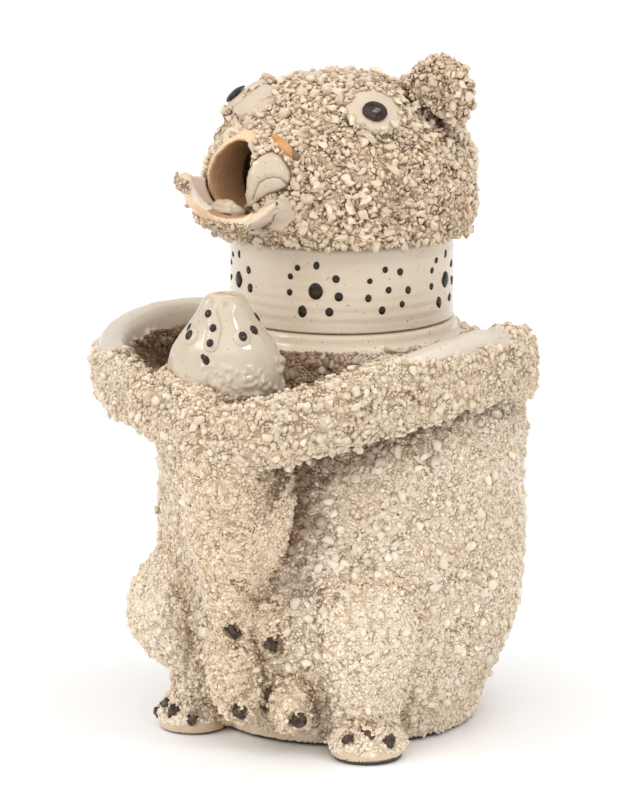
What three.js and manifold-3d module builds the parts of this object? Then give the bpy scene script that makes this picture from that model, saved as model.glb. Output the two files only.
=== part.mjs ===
// Stoneware bear jug whose head lifts off as a cup. Millimetres, +Z up, the bear faces -Y.
// Its left side is +X. A bearing is the angle in degrees from straight ahead towards its left.
import * as THREE from 'three';
import { mergeVertices } from 'three/addons/utils/BufferGeometryUtils.js';
import Module from 'manifold-3d';

const wasm = await Module();
wasm.setup();

// Fits: the joint left between pieces stuck together with slip, and the play of the cover's seat
const LUTE_GAP = 0.3;
const SEAT_GAP = 0.3;
const RIM_PLAY = 0.6;

// Jug: a thrown pot with an upright rim that stands inside the cover's collar
const BASE_RADIUS = 47.5;
const BELLY_RADIUS = 66.5;
const BELLY_START = 60;
const SHOULDER_START = 106;
const FOOT_FLARE = 5.5;
const FOOT_FLARE_HEIGHT = 20;
const BELLY_SWELL = 28;
const SHOULDER_ROUND = 18;
const SHOULDER_SLOPE = 17.5;
const SHOULDER_SLOPE_DROP = 9;
const SEAT_HEIGHT = 151.7;
const NECK_RADIUS = 42.3;
const NECK_BAND = 4.7;
const JUG_WALL = 5.5;
const JUG_FLOOR = 7;
const RIM_HEIGHT = 11;
const RIM_WALL = 4;
const RIM_BEVEL = 1.3;
const NECK_FUNNEL = 5;

// Cover: a plain collar under a furry dome, which together make the cup
const COLLAR_RADIUS = 41;
const COLLAR_WALL = 4.7;
const COLLAR_HEIGHT = 31;
const DOME_RADIUS = 49;
const DOME_FOOT_RADIUS = 45.5;
const DOME_FOOT_HEIGHT = 9;
const DOME_WALL_HEIGHT = 22;
const DOME_RISE = 36;
const DOME_SHELL = 5.5;
const DOME_SHELF = 4;

// Slip dots on the collar: rosettes of a centre dot in a ring, at these bearings
const BIG_ROSETTES = [21.5, 101, 185, 275, 329];
const SMALL_ROSETTES = [59, 143, 228];
const BIG_RING_DOTS = 8;
const SMALL_RING_DOTS = 6;
const RING_WIDTH = 9.2;
const RING_TALL = 8.6;
const BIG_DOT = 2.9;
const RING_DOT = 1.6;
const DOT_RELIEF = 0.7;

// Face, in the cover's own frame: ahead, towards the bear's left, and height above the dome's foot
const HEAD_TURN = -5;
const MUZZLE_AHEAD = 33;
const MUZZLE_LIFT = 25;
const MUZZLE_LENGTH = 31;
const MUZZLE_HALF_WIDTH = 27;
const MUZZLE_HALF_HEIGHT = 20;
const MOUTH_HALF_WIDTH = 9.5;
const MOUTH_HALF_HEIGHT = 12.5;
const MOUTH_SIDE = -1.5;
const MOUTH_RISE = 1.5;
const JAW_AHEAD = 54;
const JAW_LENGTH = 30;
const JAW_HALF_WIDTH = 18.5;
const JAW_DEPTH = 18;
const JAW_WALL = 4;
const JAW_CHIP_RADIUS = 22;
const JAW_CHIP_AHEAD = 21;
const JAW_CHIP_SIDE = 18;
const JAW_CHIP_LIFT = 4;
const TONGUE_LENGTH = 12;
const TONGUE_HALF_WIDTH = 6.5;
const TONGUE_THICKNESS = 4;
const EYE_AHEAD = 17.5;
const EYE_SIDE = 29.5;
const EYE_RADIUS = 11;
const EYE_BULGE = 3.8;
const PUPIL_RADIUS = 4.9;
const PUPIL_BULGE = 1.6;
const PUPIL_AHEAD = 2.2;
const PUPIL_OUTWARD = 1.2;
const EAR_BACK = 10;
const EAR_SIDE = 39;
const EAR_LIFT = 11;
const EAR_RADIUS = 14;
const EAR_THICKNESS = 8.5;
const EAR_DISH = 3.5;

// Arms: straps of clay that leave the back of the shoulders and meet in front of the dog.
// Each station gives how far its middle stands outside the belly, its bearing, its drop below
// the arms' height and half the strap's own height.
const ARMS_BELOW_SEAT = 18.2;
const ARM_HALF_THICKNESS = 6;
const HAND_LENGTH = 7;
const LEFT_ARM_ROUTE = [
  { out: -20, bearing: 134, drop: 3.5, tall: 11.5 },
  { out: -5, bearing: 121, drop: 0.5, tall: 11.5 },
  { out: 1.5, bearing: 104, drop: -4, tall: 12.3 },
  { out: 3, bearing: 80, drop: -9, tall: 13 },
  { out: 6, bearing: 57, drop: -4.6, tall: 13.3 },
  { out: 14, bearing: 38, drop: 0, tall: 12.2 },
  { out: 22, bearing: 24, drop: 5.7, tall: 11.7 },
  { out: 27, bearing: 12.5, drop: 8.5, tall: 10.5 },
];
const RIGHT_ARM_ROUTE = [
  { out: -20, bearing: -125, drop: 0, tall: 12 },
  { out: 2, bearing: -104, drop: -1.5, tall: 13 },
  { out: 13, bearing: -85, drop: -2, tall: 13 },
  { out: 17, bearing: -66, drop: -1, tall: 12 },
  { out: 18.5, bearing: -46, drop: -1, tall: 11 },
  { out: 22.5, bearing: -28, drop: -0.5, tall: 10.5 },
  { out: 26.5, bearing: -12, drop: 2, tall: 10 },
  { out: 28.5, bearing: 0, drop: 6, tall: 9.5 },
  { out: 28.5, bearing: 8, drop: 8, tall: 9.5 },
];

// Bear's hind legs: haunch, knee, shank and paw at each bearing
const RIGHT_LEG_BEARING = -35;
const LEFT_LEG_BEARING = 43.5;
const RIGHT_LEG_STATIONS = [
  { out: -14, height: 64, wide: 8, deep: 6 },
  { out: -3, height: 59, wide: 13, deep: 11 },
  { out: 2, height: 47, wide: 15.5, deep: 14 },
  { out: -1, height: 38, wide: 14, deep: 12.5 },
  { out: -9, height: 26, wide: 11.8, deep: 9.5 },
  { out: -11, height: 16, wide: 10.8, deep: 8.8 },
  { out: -9.5, height: 6, wide: 10.8, deep: 10 },
];
const LEFT_LEG_STATIONS = [
  { out: -12, height: 69, wide: 9, deep: 6 },
  { out: -5, height: 61, wide: 15, deep: 9.5 },
  { out: -3, height: 47, wide: 17, deep: 11.5 },
  { out: -5, height: 36, wide: 15, deep: 11 },
  { out: -9, height: 24, wide: 12.5, deep: 9.5 },
  { out: -10, height: 14, wide: 11.5, deep: 9 },
  { out: -8.5, height: 6, wide: 11, deep: 10 },
];
const RIGHT_PAW_OUT = -8;
const LEFT_PAW_OUT = -6;
const PAW_HALF_WIDTH = 13.6;
const PAW_HALF_LENGTH = 13;
const PAW_MIDDLE = 3.5;
const PAW_RISE = 10.5;
const CLAW_HALF_WIDTH = 3;
const CLAW_HALF_LENGTH = 3.4;
const RIGHT_CLAWS = [
  { angle: -20, tilt: 9 },
  { angle: 0, tilt: 36 },
  { angle: 32, tilt: 26 },
  { angle: 70, tilt: 15 },
];
const LEFT_CLAWS = [
  { angle: -44, tilt: 30 },
  { angle: -5, tilt: 46 },
  { angle: 32, tilt: 28 },
];

// Dog: it clings to the bear, and its raised muzzle is the jug's spout
const DOG_BEARING = 4;
const DOG_HEAD_BEARING = 2;
const DOG_HEAD_OUT = 10;
const DOG_NECK_HEIGHT = 130.5;
const TORSO_STATIONS = [
  { out: 2, height: 57, wide: 6, deep: 6, left: -8 },
  { out: 2, height: 64, wide: 9, deep: 10, left: -7 },
  { out: 3, height: 76, wide: 16, deep: 16, left: -2.5 },
  { out: 4, height: 90, wide: 19.5, deep: 18.5 },
  { out: 4, height: 101, wide: 20, deep: 19 },
  { out: 6, height: 116, wide: 19, deep: 17 },
  { out: DOG_HEAD_OUT, height: DOG_NECK_HEIGHT, wide: 16.5, deep: 12.5 },
];
const DOG_HEAD_STATIONS = [
  { rise: 0, wide: 16.5, deep: 12.5 },
  { rise: 7, wide: 20.8, deep: 16 },
  { rise: 13.5, wide: 21.2, deep: 17.5 },
  { rise: 22, wide: 18.8, deep: 16.4 },
  { rise: 30, wide: 13, deep: 13 },
  { rise: 35.5, wide: 9.4, deep: 10.4 },
  { rise: 38.8, wide: 7.7, deep: 8.8 },
  { rise: 40.5, wide: 5.8, deep: 7.6 },
];
const DOG_FACE_TURN = 20;
const SPOUT_BORE = 3.6;
const SPOUT_BACK = 2.8;
const SPOUT_LEVEL = 104;
const SPOUT_REACH = 11;
const DOG_EYE_RISE = 27.5;
const DOG_EYE_ANGLE = 41;
const DOG_EYE_OUT = 13.6;
const DOG_EYE_RADIUS = 3.3;
const NOSE_STRIP_RISE = 30.6;
const NOSE_STRIP_OUT = 13.2;
const NOSE_STRIP_LEAN = 33;
const NOSE_STRIP_HALF_LENGTH = 8.5;
const NOSE_STRIP_HALF_WIDTH = 3.3;
const NOSE_STRIP_BULGE = 2.2;
const DOG_LEGS = [
  {
    name: 'dog_right_foreleg',
    bearing: 1.5,
    stations: [
      { out: 10, height: 74, wide: 6.5, deep: 5.5 },
      { out: 9, height: 63, wide: 8.8, deep: 7.5 },
      { out: 5, height: 53, wide: 8, deep: 6.5 },
      { out: 2, height: 44.5, wide: 5.5, deep: 5.5 },
    ],
  },
  {
    name: 'dog_left_foreleg',
    bearing: 11.5,
    stations: [
      { out: -1, height: 59, wide: 3.5, deep: 4 },
      { out: -1, height: 53, wide: 5, deep: 5 },
      { out: -2.5, height: 45, wide: 4.8, deep: 5 },
      { out: -4, height: 39, wide: 3.4, deep: 3.8 },
    ],
  },
  {
    name: 'dog_right_hind_leg',
    bearing: -1.5,
    stations: [
      { out: 0, height: 46, wide: 7, deep: 6 },
      { out: 0, height: 37, wide: 10, deep: 9 },
      { out: -4, height: 22, wide: 9.5, deep: 9 },
      { out: -7, height: 13.5, wide: 7.5, deep: 7 },
    ],
  },
  {
    name: 'dog_left_hind_leg',
    bearing: 18,
    stations: [
      { out: -7, height: 29, wide: 4.5, deep: 4.5 },
      { out: -5, height: 23.5, wide: 6.8, deep: 6.5 },
      { out: -5, height: 17, wide: 7.5, deep: 7 },
      { out: -7, height: 11.5, wide: 6, deep: 5.5 },
    ],
  },
];
const DOG_CLAW_HALF_WIDTH = 3.6;
const DOG_CLAW_HALF_HEIGHT = 4.2;
const DOG_CLAW_BULGE = 3;
const DOG_CLAW_LIFT = 3.5;
const DOG_CLAW_PROUD = 3;
const DOG_CLAW_TURN = 24;

// Crumb coat: its coarse lumps on the pot and the head
const COAT_RELIEF = 1.8;
const COAT_FOOT = 4;
const COAT_TOP = 143;
const HEAD_COAT_LIFT = 6;
const BELLY_ROWS = 4;

// Facets
const LATHE_FACETS = 40;
const BALL_FACETS = 18;
const MUZZLE_FACETS = 22;
const TONGUE_FACETS = 12;
const EYE_FACETS = 16;
const PUPIL_FACETS = 12;
const SMALL_FACETS = 8;
const DOT_FACETS = 6;
const DOT_RINGS = 2;
const JUG_STEPS = 6;
const LINING_STEPS = 4;
const DOME_STEPS = 4;
const DOME_LINING_STEPS = 3;
const BORE_FACETS = 12;

// Sweeps: a section of 2 is an ellipse, and more is nearer to a rounded oblong
const LIMB_SWEEP = { facets: 12, stepsEach: 2, section: 2 };
const DOG_HEAD_SWEEP = { facets: 18, stepsEach: 2, section: 2 };
const ARM_SWEEP = { facets: 14, stepsEach: 2, section: 3 };
const CURVE_TENSION = 0.5;

// Sizes that follow from the ones above
const RIM_RADIUS = COLLAR_RADIUS - COLLAR_WALL - RIM_PLAY;
const RIM_BORE = RIM_RADIUS - RIM_WALL;
const COLLAR_BORE = COLLAR_RADIUS - COLLAR_WALL;
const COLLAR_FOOT = SEAT_HEIGHT + SEAT_GAP;
const COLLAR_TOP = COLLAR_FOOT + COLLAR_HEIGHT;
const DOME_FOOT = COLLAR_TOP + LUTE_GAP;
const DOME_SPRING = DOME_FOOT + DOME_WALL_HEIGHT;
const MUZZLE_HEIGHT = DOME_FOOT + MUZZLE_LIFT;
const ARM_HEIGHT = SEAT_HEIGHT - ARMS_BELOW_SEAT;
const LARGE = 4 * BELLY_RADIUS;

const WELD_DISTANCE = 1e-4;
const UP = new THREE.Vector3(0, 0, 1);
const radians = THREE.MathUtils.degToRad;

// Points round the jug's axis
function aheadOf(bearing) {
  return new THREE.Vector3(Math.sin(radians(bearing)), -Math.cos(radians(bearing)), 0);
}

function leftOf(bearing) {
  return new THREE.Vector3(Math.cos(radians(bearing)), Math.sin(radians(bearing)), 0);
}

function polar(radius, bearing, height) {
  return aheadOf(bearing).multiplyScalar(radius).setZ(height);
}

// Closed geometry to solid and back
function weld(geometry) {
  const bare = geometry.clone();
  bare.deleteAttribute('normal');
  bare.deleteAttribute('uv');
  const merged = mergeVertices(bare, WELD_DISTANCE);
  const corners = Array.from(merged.index.array);
  const kept = [];
  for (let i = 0; i < corners.length; i += 3) {
    const [a, b, c] = corners.slice(i, i + 3);
    if (a !== b && b !== c && c !== a) kept.push(a, b, c);
  }
  merged.setIndex(kept);
  return merged;
}

function signedVolume(positions, corners) {
  const [a, b, c] = [new THREE.Vector3(), new THREE.Vector3(), new THREE.Vector3()];
  let volume = 0;
  for (let i = 0; i < corners.length; i += 3) {
    a.fromArray(positions, 3 * corners[i]);
    b.fromArray(positions, 3 * corners[i + 1]);
    c.fromArray(positions, 3 * corners[i + 2]);
    volume += a.dot(b.cross(c)) / 6;
  }
  return volume;
}

function solid(geometry) {
  const welded = weld(geometry);
  const vertProperties = new Float32Array(welded.attributes.position.array);
  const triVerts = new Uint32Array(welded.index.array);
  if (signedVolume(vertProperties, triVerts) < 0) triVerts.reverse();
  return new wasm.Manifold(new wasm.Mesh({ numProp: 3, vertProperties, triVerts }));
}

// The largest connected body, so that a cut leaves no crumbs behind
function mainBody(manifold) {
  const bodies = manifold.decompose();
  return bodies.reduce((best, body) => (body.volume() > best.volume() ? body : best));
}

function cut(manifold, ...cutters) {
  return mainBody(cutters.reduce((rest, cutter) => rest.subtract(cutter), manifold));
}

function geometryOf(manifold) {
  const mesh = manifold.getMesh();
  const geometry = new THREE.BufferGeometry();
  geometry.setAttribute('position', new THREE.BufferAttribute(mesh.vertProperties, 3));
  geometry.setIndex(new THREE.BufferAttribute(mesh.triVerts, 1));
  geometry.computeVertexNormals();
  return geometry;
}

// How far one corner of the coat stands out, different for each column and row
function lump(column, row) {
  const wave = 437.5 * Math.sin(12.9898 * (column + 1) + 78.233 * (row + 1));
  return COAT_RELIEF * (wave - Math.floor(wave) - 0.5);
}

// Basic forms; a profile's first rows may carry the coat's lumps, between two heights
function revolve(profile, coat = { rows: 0 }) {
  const turned = new THREE.LatheGeometry(profile, LATHE_FACETS);
  const corners = turned.attributes.position;
  for (let k = 0; k < corners.count; k += 1) {
    const row = k % profile.length;
    const [x, height, z] = [corners.getX(k), corners.getY(k), corners.getZ(k)];
    const radius = Math.hypot(x, z);
    if (row >= coat.rows || height < coat.from || height > coat.to || radius < COAT_RELIEF) continue;
    const column = Math.floor(k / profile.length) % LATHE_FACETS;
    const stretch = 1 + lump(column, row) / radius;
    corners.setXYZ(k, x * stretch, height, z * stretch);
  }
  return solid(turned.rotateX(Math.PI / 2));
}

function offsetLine(points, distance) {
  return points.map((point, i) => {
    const before = points[Math.max(i - 1, 0)];
    const after = points[Math.min(i + 1, points.length - 1)];
    const along = after.clone().sub(before).normalize();
    return new THREE.Vector2(point.x + along.y * distance, point.y - along.x * distance);
  });
}

function radiusAt(points, height) {
  const i = points.findIndex((point) => point.y >= height);
  const [low, high] = [points[i - 1], points[i]];
  return low.x + ((high.x - low.x) * (height - low.y)) / (high.y - low.y);
}

function ellipsoid(centre, halves, facets, turn = new THREE.Quaternion(), rings = Math.ceil(facets / 2)) {
  const ball = new THREE.SphereGeometry(1, facets, rings);
  ball.rotateX(Math.PI / 2).scale(...halves).applyQuaternion(turn);
  return solid(ball.translate(centre.x, centre.y, centre.z));
}

function alike(half) {
  return [half, half, half];
}

function blend(before, from, to, after, t) {
  const slopeFrom = (to - before) / 2;
  const slopeTo = (after - from) / 2;
  const a = 2 * from - 2 * to + slopeFrom + slopeTo;
  const b = -3 * from + 3 * to - 2 * slopeFrom - slopeTo;
  return ((a * t + b) * t + slopeFrom) * t + from;
}

function bulge(value, section) {
  return Math.sign(value) * Math.abs(value) ** (2 / section);
}

// A solid swept through stations of { centre, across half size, other half size }
function sweep(stations, across, { facets, stepsEach, section }, grow) {
  const centres = stations.map((station) => station.centre);
  const route = new THREE.CatmullRomCurve3(centres, false, 'catmullrom', CURVE_TENSION);
  const last = stations.length - 1;
  const steps = last * stepsEach;
  const positions = [];
  const corners = [];
  for (let step = 0; step <= steps; step += 1) {
    const index = Math.min(Math.floor(step / stepsEach), last - 1);
    const t = step / stepsEach - index;
    const around = [index - 1, index, index + 1, index + 2];
    const near = around.map((i) => stations[Math.min(Math.max(i, 0), last)]);
    const halfAcross = blend(...near.map((station) => station.across), t) + grow;
    const halfOther = blend(...near.map((station) => station.other), t) + grow;
    const tangent = route.getTangent(step / steps);
    const centre = route.getPoint(step / steps);
    if (step === 0) centre.addScaledVector(tangent, -grow);
    if (step === steps) centre.addScaledVector(tangent, grow);
    const other = tangent.clone().cross(across).normalize();
    const level = other.clone().cross(tangent).normalize();
    for (let k = 0; k < facets; k += 1) {
      const angle = (2 * Math.PI * k) / facets;
      const point = centre.clone();
      point.addScaledVector(level, halfAcross * bulge(Math.cos(angle), section));
      point.addScaledVector(other, halfOther * bulge(Math.sin(angle), section));
      positions.push(...point.toArray());
      if (step === 0) continue;
      const here = step * facets + k;
      const next = step * facets + ((k + 1) % facets);
      corners.push(here - facets, next - facets, next, here - facets, next, here);
    }
  }
  for (const ring of [0, steps]) {
    const middle = positions.length / 3;
    const centre = route.getPoint(ring / steps);
    centre.addScaledVector(route.getTangent(ring / steps), ring === 0 ? -grow : grow);
    positions.push(...centre.toArray());
    for (let k = 0; k < facets; k += 1) {
      const pair = [ring * facets + k, ring * facets + ((k + 1) % facets)];
      if (ring === 0) pair.reverse();
      corners.push(...pair, middle);
    }
  }
  const geometry = new THREE.BufferGeometry();
  geometry.setAttribute('position', new THREE.Float32BufferAttribute(positions, 3));
  geometry.setIndex(corners);
  return solid(geometry);
}

// A limb lies over the belly at one bearing, from station to station, some of them to the left
function limb(stations, bearing, grow = 0) {
  const placed = stations.map(({ out, height, wide, deep, left = 0 }) => ({
    centre: polar(BELLY_RADIUS + out, bearing, height).addScaledVector(leftOf(bearing), left),
    across: wide,
    other: deep,
  }));
  return sweep(placed, leftOf(bearing), LIMB_SWEEP, grow);
}

function bore(radius, from, to) {
  const along = to.clone().sub(from);
  const geometry = new THREE.CylinderGeometry(radius, radius, along.length(), BORE_FACETS);
  const turn = new THREE.Quaternion().setFromUnitVectors(new THREE.Vector3(0, 1, 0), along.normalize());
  geometry.applyQuaternion(turn);
  const middle = from.clone().add(to).multiplyScalar(0.5);
  return solid(geometry.translate(middle.x, middle.y, middle.z));
}

// Jug
function jugOutline(steps) {
  const outline = new THREE.Path();
  const neckFoot = SEAT_HEIGHT - NECK_BAND;
  outline.moveTo(BASE_RADIUS, 0);
  outline.bezierCurveTo(
    BASE_RADIUS + FOOT_FLARE, FOOT_FLARE_HEIGHT,
    BELLY_RADIUS, BELLY_START - BELLY_SWELL,
    BELLY_RADIUS, BELLY_START,
  );
  for (let row = 1; row <= BELLY_ROWS; row += 1) {
    outline.lineTo(BELLY_RADIUS, THREE.MathUtils.lerp(BELLY_START, SHOULDER_START, row / BELLY_ROWS));
  }
  outline.bezierCurveTo(
    BELLY_RADIUS, SHOULDER_START + SHOULDER_ROUND,
    NECK_RADIUS + SHOULDER_SLOPE, neckFoot - SHOULDER_SLOPE_DROP,
    NECK_RADIUS, neckFoot,
  );
  return outline.getPoints(steps);
}

// The jug's outside, grown by a gap, cuts what is luted to it
function jugEnvelope(grow) {
  const side = offsetLine(jugOutline(JUG_STEPS), grow);
  const coat = { rows: side.length + 1, from: COAT_FOOT, to: COAT_TOP };
  const profile = [
    new THREE.Vector2(0, -grow),
    new THREE.Vector2(BASE_RADIUS + grow, -grow),
    ...side.slice(1),
    new THREE.Vector2(NECK_RADIUS + grow, SEAT_HEIGHT + grow),
    new THREE.Vector2(0, SEAT_HEIGHT + grow),
  ];
  return revolve(profile, coat);
}

function spoutChannel() {
  const spoutRadius = BELLY_RADIUS + DOG_HEAD_OUT - SPOUT_BACK;
  const top = polar(spoutRadius, DOG_HEAD_BEARING, DOG_NECK_HEIGHT + LARGE);
  const elbow = polar(spoutRadius, DOG_HEAD_BEARING, SPOUT_LEVEL);
  const inside = polar(BELLY_RADIUS - SPOUT_REACH, DOG_HEAD_BEARING, SPOUT_LEVEL);
  const bend = ellipsoid(elbow, alike(SPOUT_BORE), BORE_FACETS);
  return bore(SPOUT_BORE, elbow, top).add(bore(SPOUT_BORE, inside, elbow)).add(bend);
}

function jugBody() {
  const side = jugOutline(JUG_STEPS);
  const inside = offsetLine(jugOutline(LINING_STEPS), -JUG_WALL);
  const floorRadius = radiusAt(inside, JUG_FLOOR);
  const lining = inside.filter((point) => point.y > JUG_FLOOR && point.x > RIM_BORE);
  const underNeck = lining[lining.length - 1].y + NECK_FUNNEL;
  const rimTop = SEAT_HEIGHT + RIM_HEIGHT;
  const coat = { rows: side.length + 1, from: COAT_FOOT, to: COAT_TOP };
  const profile = [
    new THREE.Vector2(0, 0),
    ...side,
    new THREE.Vector2(NECK_RADIUS, SEAT_HEIGHT),
    new THREE.Vector2(RIM_RADIUS, SEAT_HEIGHT),
    new THREE.Vector2(RIM_RADIUS, rimTop - RIM_BEVEL),
    new THREE.Vector2(RIM_RADIUS - RIM_BEVEL, rimTop),
    new THREE.Vector2(RIM_BORE + RIM_BEVEL, rimTop),
    new THREE.Vector2(RIM_BORE, rimTop - RIM_BEVEL),
    new THREE.Vector2(RIM_BORE, underNeck),
    ...lining.reverse(),
    new THREE.Vector2(floorRadius, JUG_FLOOR),
    new THREE.Vector2(0, JUG_FLOOR),
  ];
  return cut(revolve(profile, coat), spoutChannel());
}

// Cover
function inHeadFrame(ahead, left, height) {
  const place = aheadOf(HEAD_TURN).multiplyScalar(ahead);
  return place.addScaledVector(leftOf(HEAD_TURN), left).setZ(height);
}

const headTurn = new THREE.Quaternion().setFromAxisAngle(UP, radians(HEAD_TURN));

function collarDots() {
  const middle = COLLAR_FOOT + COLLAR_HEIGHT / 2;
  const dots = [];
  const bead = (radius, bearing, height) => {
    const halves = [radius, radius, DOT_RELIEF];
    const outward = new THREE.Quaternion().setFromUnitVectors(UP, aheadOf(bearing));
    dots.push(ellipsoid(polar(COLLAR_RADIUS, bearing, height), halves, DOT_FACETS, outward, DOT_RINGS));
  };
  const rosette = (bearing, centreDot, ringDots) => {
    bead(centreDot, bearing, middle);
    for (let k = 0; k < ringDots; k += 1) {
      const angle = (2 * Math.PI * (k + 0.5)) / ringDots;
      const aside = THREE.MathUtils.radToDeg((RING_WIDTH * Math.cos(angle)) / COLLAR_RADIUS);
      bead(RING_DOT, bearing + aside, middle + RING_TALL * Math.sin(angle));
    }
  };
  BIG_ROSETTES.forEach((bearing) => rosette(bearing, BIG_DOT, BIG_RING_DOTS));
  SMALL_ROSETTES.forEach((bearing) => rosette(bearing, RING_DOT, SMALL_RING_DOTS));
  return wasm.Manifold.union(dots);
}

function collar() {
  const band = revolve([
    new THREE.Vector2(COLLAR_BORE, COLLAR_FOOT),
    new THREE.Vector2(COLLAR_RADIUS, COLLAR_FOOT),
    new THREE.Vector2(COLLAR_RADIUS, COLLAR_TOP),
    new THREE.Vector2(COLLAR_BORE, COLLAR_TOP),
    new THREE.Vector2(COLLAR_BORE, COLLAR_FOOT),
  ]);
  return mainBody(band.add(collarDots()));
}

function domeOutline() {
  const outline = new THREE.Path();
  outline.moveTo(DOME_FOOT_RADIUS, DOME_FOOT);
  outline.quadraticCurveTo(DOME_RADIUS, DOME_FOOT, DOME_RADIUS, DOME_FOOT + DOME_FOOT_HEIGHT);
  outline.absellipse(0, DOME_SPRING, DOME_RADIUS, DOME_RISE, 0, Math.PI / 2);
  return outline.getPoints(DOME_STEPS);
}

function muzzle(grow) {
  const centre = inHeadFrame(MUZZLE_AHEAD, 0, MUZZLE_HEIGHT);
  const halves = [MUZZLE_HALF_WIDTH + grow, MUZZLE_LENGTH + grow, MUZZLE_HALF_HEIGHT + grow];
  return ellipsoid(centre, halves, MUZZLE_FACETS, headTurn);
}

// The head's outside, grown by a gap, cuts the face's pieces
function headEnvelope(grow) {
  const side = offsetLine(domeOutline(), grow).filter((point) => point.x > grow);
  const profile = [
    new THREE.Vector2(0, DOME_FOOT - grow),
    new THREE.Vector2(DOME_FOOT_RADIUS, DOME_FOOT - grow),
    ...side,
    new THREE.Vector2(0, DOME_SPRING + DOME_RISE + grow),
  ];
  const coat = { rows: profile.length, from: DOME_FOOT + HEAD_COAT_LIFT, to: LARGE };
  return revolve(profile, coat).add(muzzle(grow));
}

function headInside() {
  const inner = new THREE.Path();
  const innerRadius = DOME_RADIUS - DOME_SHELL;
  const shelf = DOME_FOOT + DOME_SHELF;
  inner.moveTo(COLLAR_BORE, shelf);
  inner.quadraticCurveTo(innerRadius, shelf, innerRadius, shelf + DOME_FOOT_HEIGHT);
  inner.absellipse(0, DOME_SPRING, innerRadius, DOME_RISE - DOME_SHELL, 0, Math.PI / 2);
  const side = inner.getPoints(DOME_LINING_STEPS).filter((point) => point.x > LUTE_GAP);
  return revolve([
    new THREE.Vector2(0, DOME_FOOT - DOME_SHELF),
    new THREE.Vector2(COLLAR_BORE, DOME_FOOT - DOME_SHELF),
    ...side,
    new THREE.Vector2(0, DOME_SPRING + DOME_RISE - DOME_SHELL),
  ]);
}

function mouthHole() {
  const tube = new THREE.CylinderGeometry(1, 1, MUZZLE_LENGTH + JAW_LENGTH, BALL_FACETS);
  tube.scale(MOUTH_HALF_WIDTH, 1, MOUTH_HALF_HEIGHT).applyQuaternion(headTurn);
  const centre = inHeadFrame(MUZZLE_AHEAD + JAW_LENGTH / 2, MOUTH_SIDE, MUZZLE_HEIGHT + MOUTH_RISE);
  return solid(tube.translate(centre.x, centre.y, centre.z));
}

function headShell() {
  return cut(headEnvelope(0), headInside(), mouthHole());
}

function jawBowl(wall, grow) {
  const centre = inHeadFrame(JAW_AHEAD, 0, MUZZLE_HEIGHT);
  const shrink = wall - grow;
  const halves = [JAW_HALF_WIDTH - shrink, JAW_LENGTH - shrink, JAW_DEPTH - shrink];
  return ellipsoid(centre, halves, BALL_FACETS, headTurn);
}

function jawShell(grow) {
  const lid = new THREE.BoxGeometry(LARGE, LARGE, LARGE);
  lid.translate(0, 0, MUZZLE_HEIGHT + grow + LARGE / 2);
  const chipHeight = MUZZLE_HEIGHT + JAW_CHIP_LIFT;
  const chipPlace = inHeadFrame(JAW_AHEAD + JAW_CHIP_AHEAD, JAW_CHIP_SIDE, chipHeight);
  const chip = ellipsoid(chipPlace, alike(JAW_CHIP_RADIUS - grow), BALL_FACETS);
  return cut(jawBowl(0, grow), jawBowl(JAW_WALL, -grow), solid(lid), chip);
}

function tongue() {
  const floor = MUZZLE_HEIGHT - JAW_DEPTH + JAW_WALL;
  const centre = inHeadFrame(JAW_AHEAD + TONGUE_LENGTH / 2, MOUTH_SIDE, floor + TONGUE_THICKNESS);
  const halves = [TONGUE_HALF_WIDTH, TONGUE_LENGTH, TONGUE_THICKNESS];
  return ellipsoid(centre, halves, TONGUE_FACETS, headTurn);
}

// A place on the dome and the way its surface faces there
function onDome(ahead, left) {
  const radius = Math.hypot(ahead, left);
  const rise = DOME_RISE * Math.sqrt(1 - (radius / DOME_RADIUS) ** 2);
  const place = inHeadFrame(ahead, left, DOME_SPRING + rise);
  const outward = inHeadFrame(ahead, left, 0).multiplyScalar(1 / DOME_RADIUS ** 2);
  outward.setZ(rise / DOME_RISE ** 2).normalize();
  return { place, outward };
}

function eyeWhite(side, grow) {
  const { place, outward } = onDome(EYE_AHEAD, side * EYE_SIDE);
  const turn = new THREE.Quaternion().setFromUnitVectors(UP, outward);
  return ellipsoid(place, [EYE_RADIUS + grow, EYE_RADIUS + grow, EYE_BULGE + grow], EYE_FACETS, turn);
}

// The pupil lies on the white, a little ahead of its middle
function pupil(side) {
  const { place, outward } = onDome(EYE_AHEAD + PUPIL_AHEAD, side * (EYE_SIDE + PUPIL_OUTWARD));
  const turn = new THREE.Quaternion().setFromUnitVectors(UP, outward);
  const centre = place.addScaledVector(outward, EYE_BULGE);
  return ellipsoid(centre, [PUPIL_RADIUS, PUPIL_RADIUS, PUPIL_BULGE + LUTE_GAP], PUPIL_FACETS, turn);
}

function ear() {
  const { place } = onDome(-EAR_BACK, EAR_SIDE);
  const centre = place.addScaledVector(UP, EAR_LIFT);
  const lump = ellipsoid(centre, [EAR_RADIUS, EAR_THICKNESS, EAR_RADIUS], BALL_FACETS, headTurn);
  const dishAhead = EAR_RADIUS + EAR_THICKNESS - EAR_DISH;
  const dishCentre = centre.clone().addScaledVector(aheadOf(HEAD_TURN), dishAhead);
  return lump.subtract(ellipsoid(dishCentre, alike(EAR_RADIUS), BALL_FACETS));
}

// Arms
function arm(route, grow = 0) {
  const placed = route.map(({ out, bearing, drop, tall }) => ({
    centre: polar(BELLY_RADIUS + out, bearing, ARM_HEIGHT - drop),
    across: tall,
    other: ARM_HALF_THICKNESS,
  }));
  const wrist = placed[placed.length - 1];
  const reach = wrist.centre.clone().sub(placed[placed.length - 2].centre).setLength(HAND_LENGTH);
  const fingertip = {
    centre: wrist.centre.clone().add(reach),
    across: wrist.across / 2,
    other: wrist.other / 2,
  };
  return sweep([...placed, fingertip], UP, ARM_SWEEP, grow);
}

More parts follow.
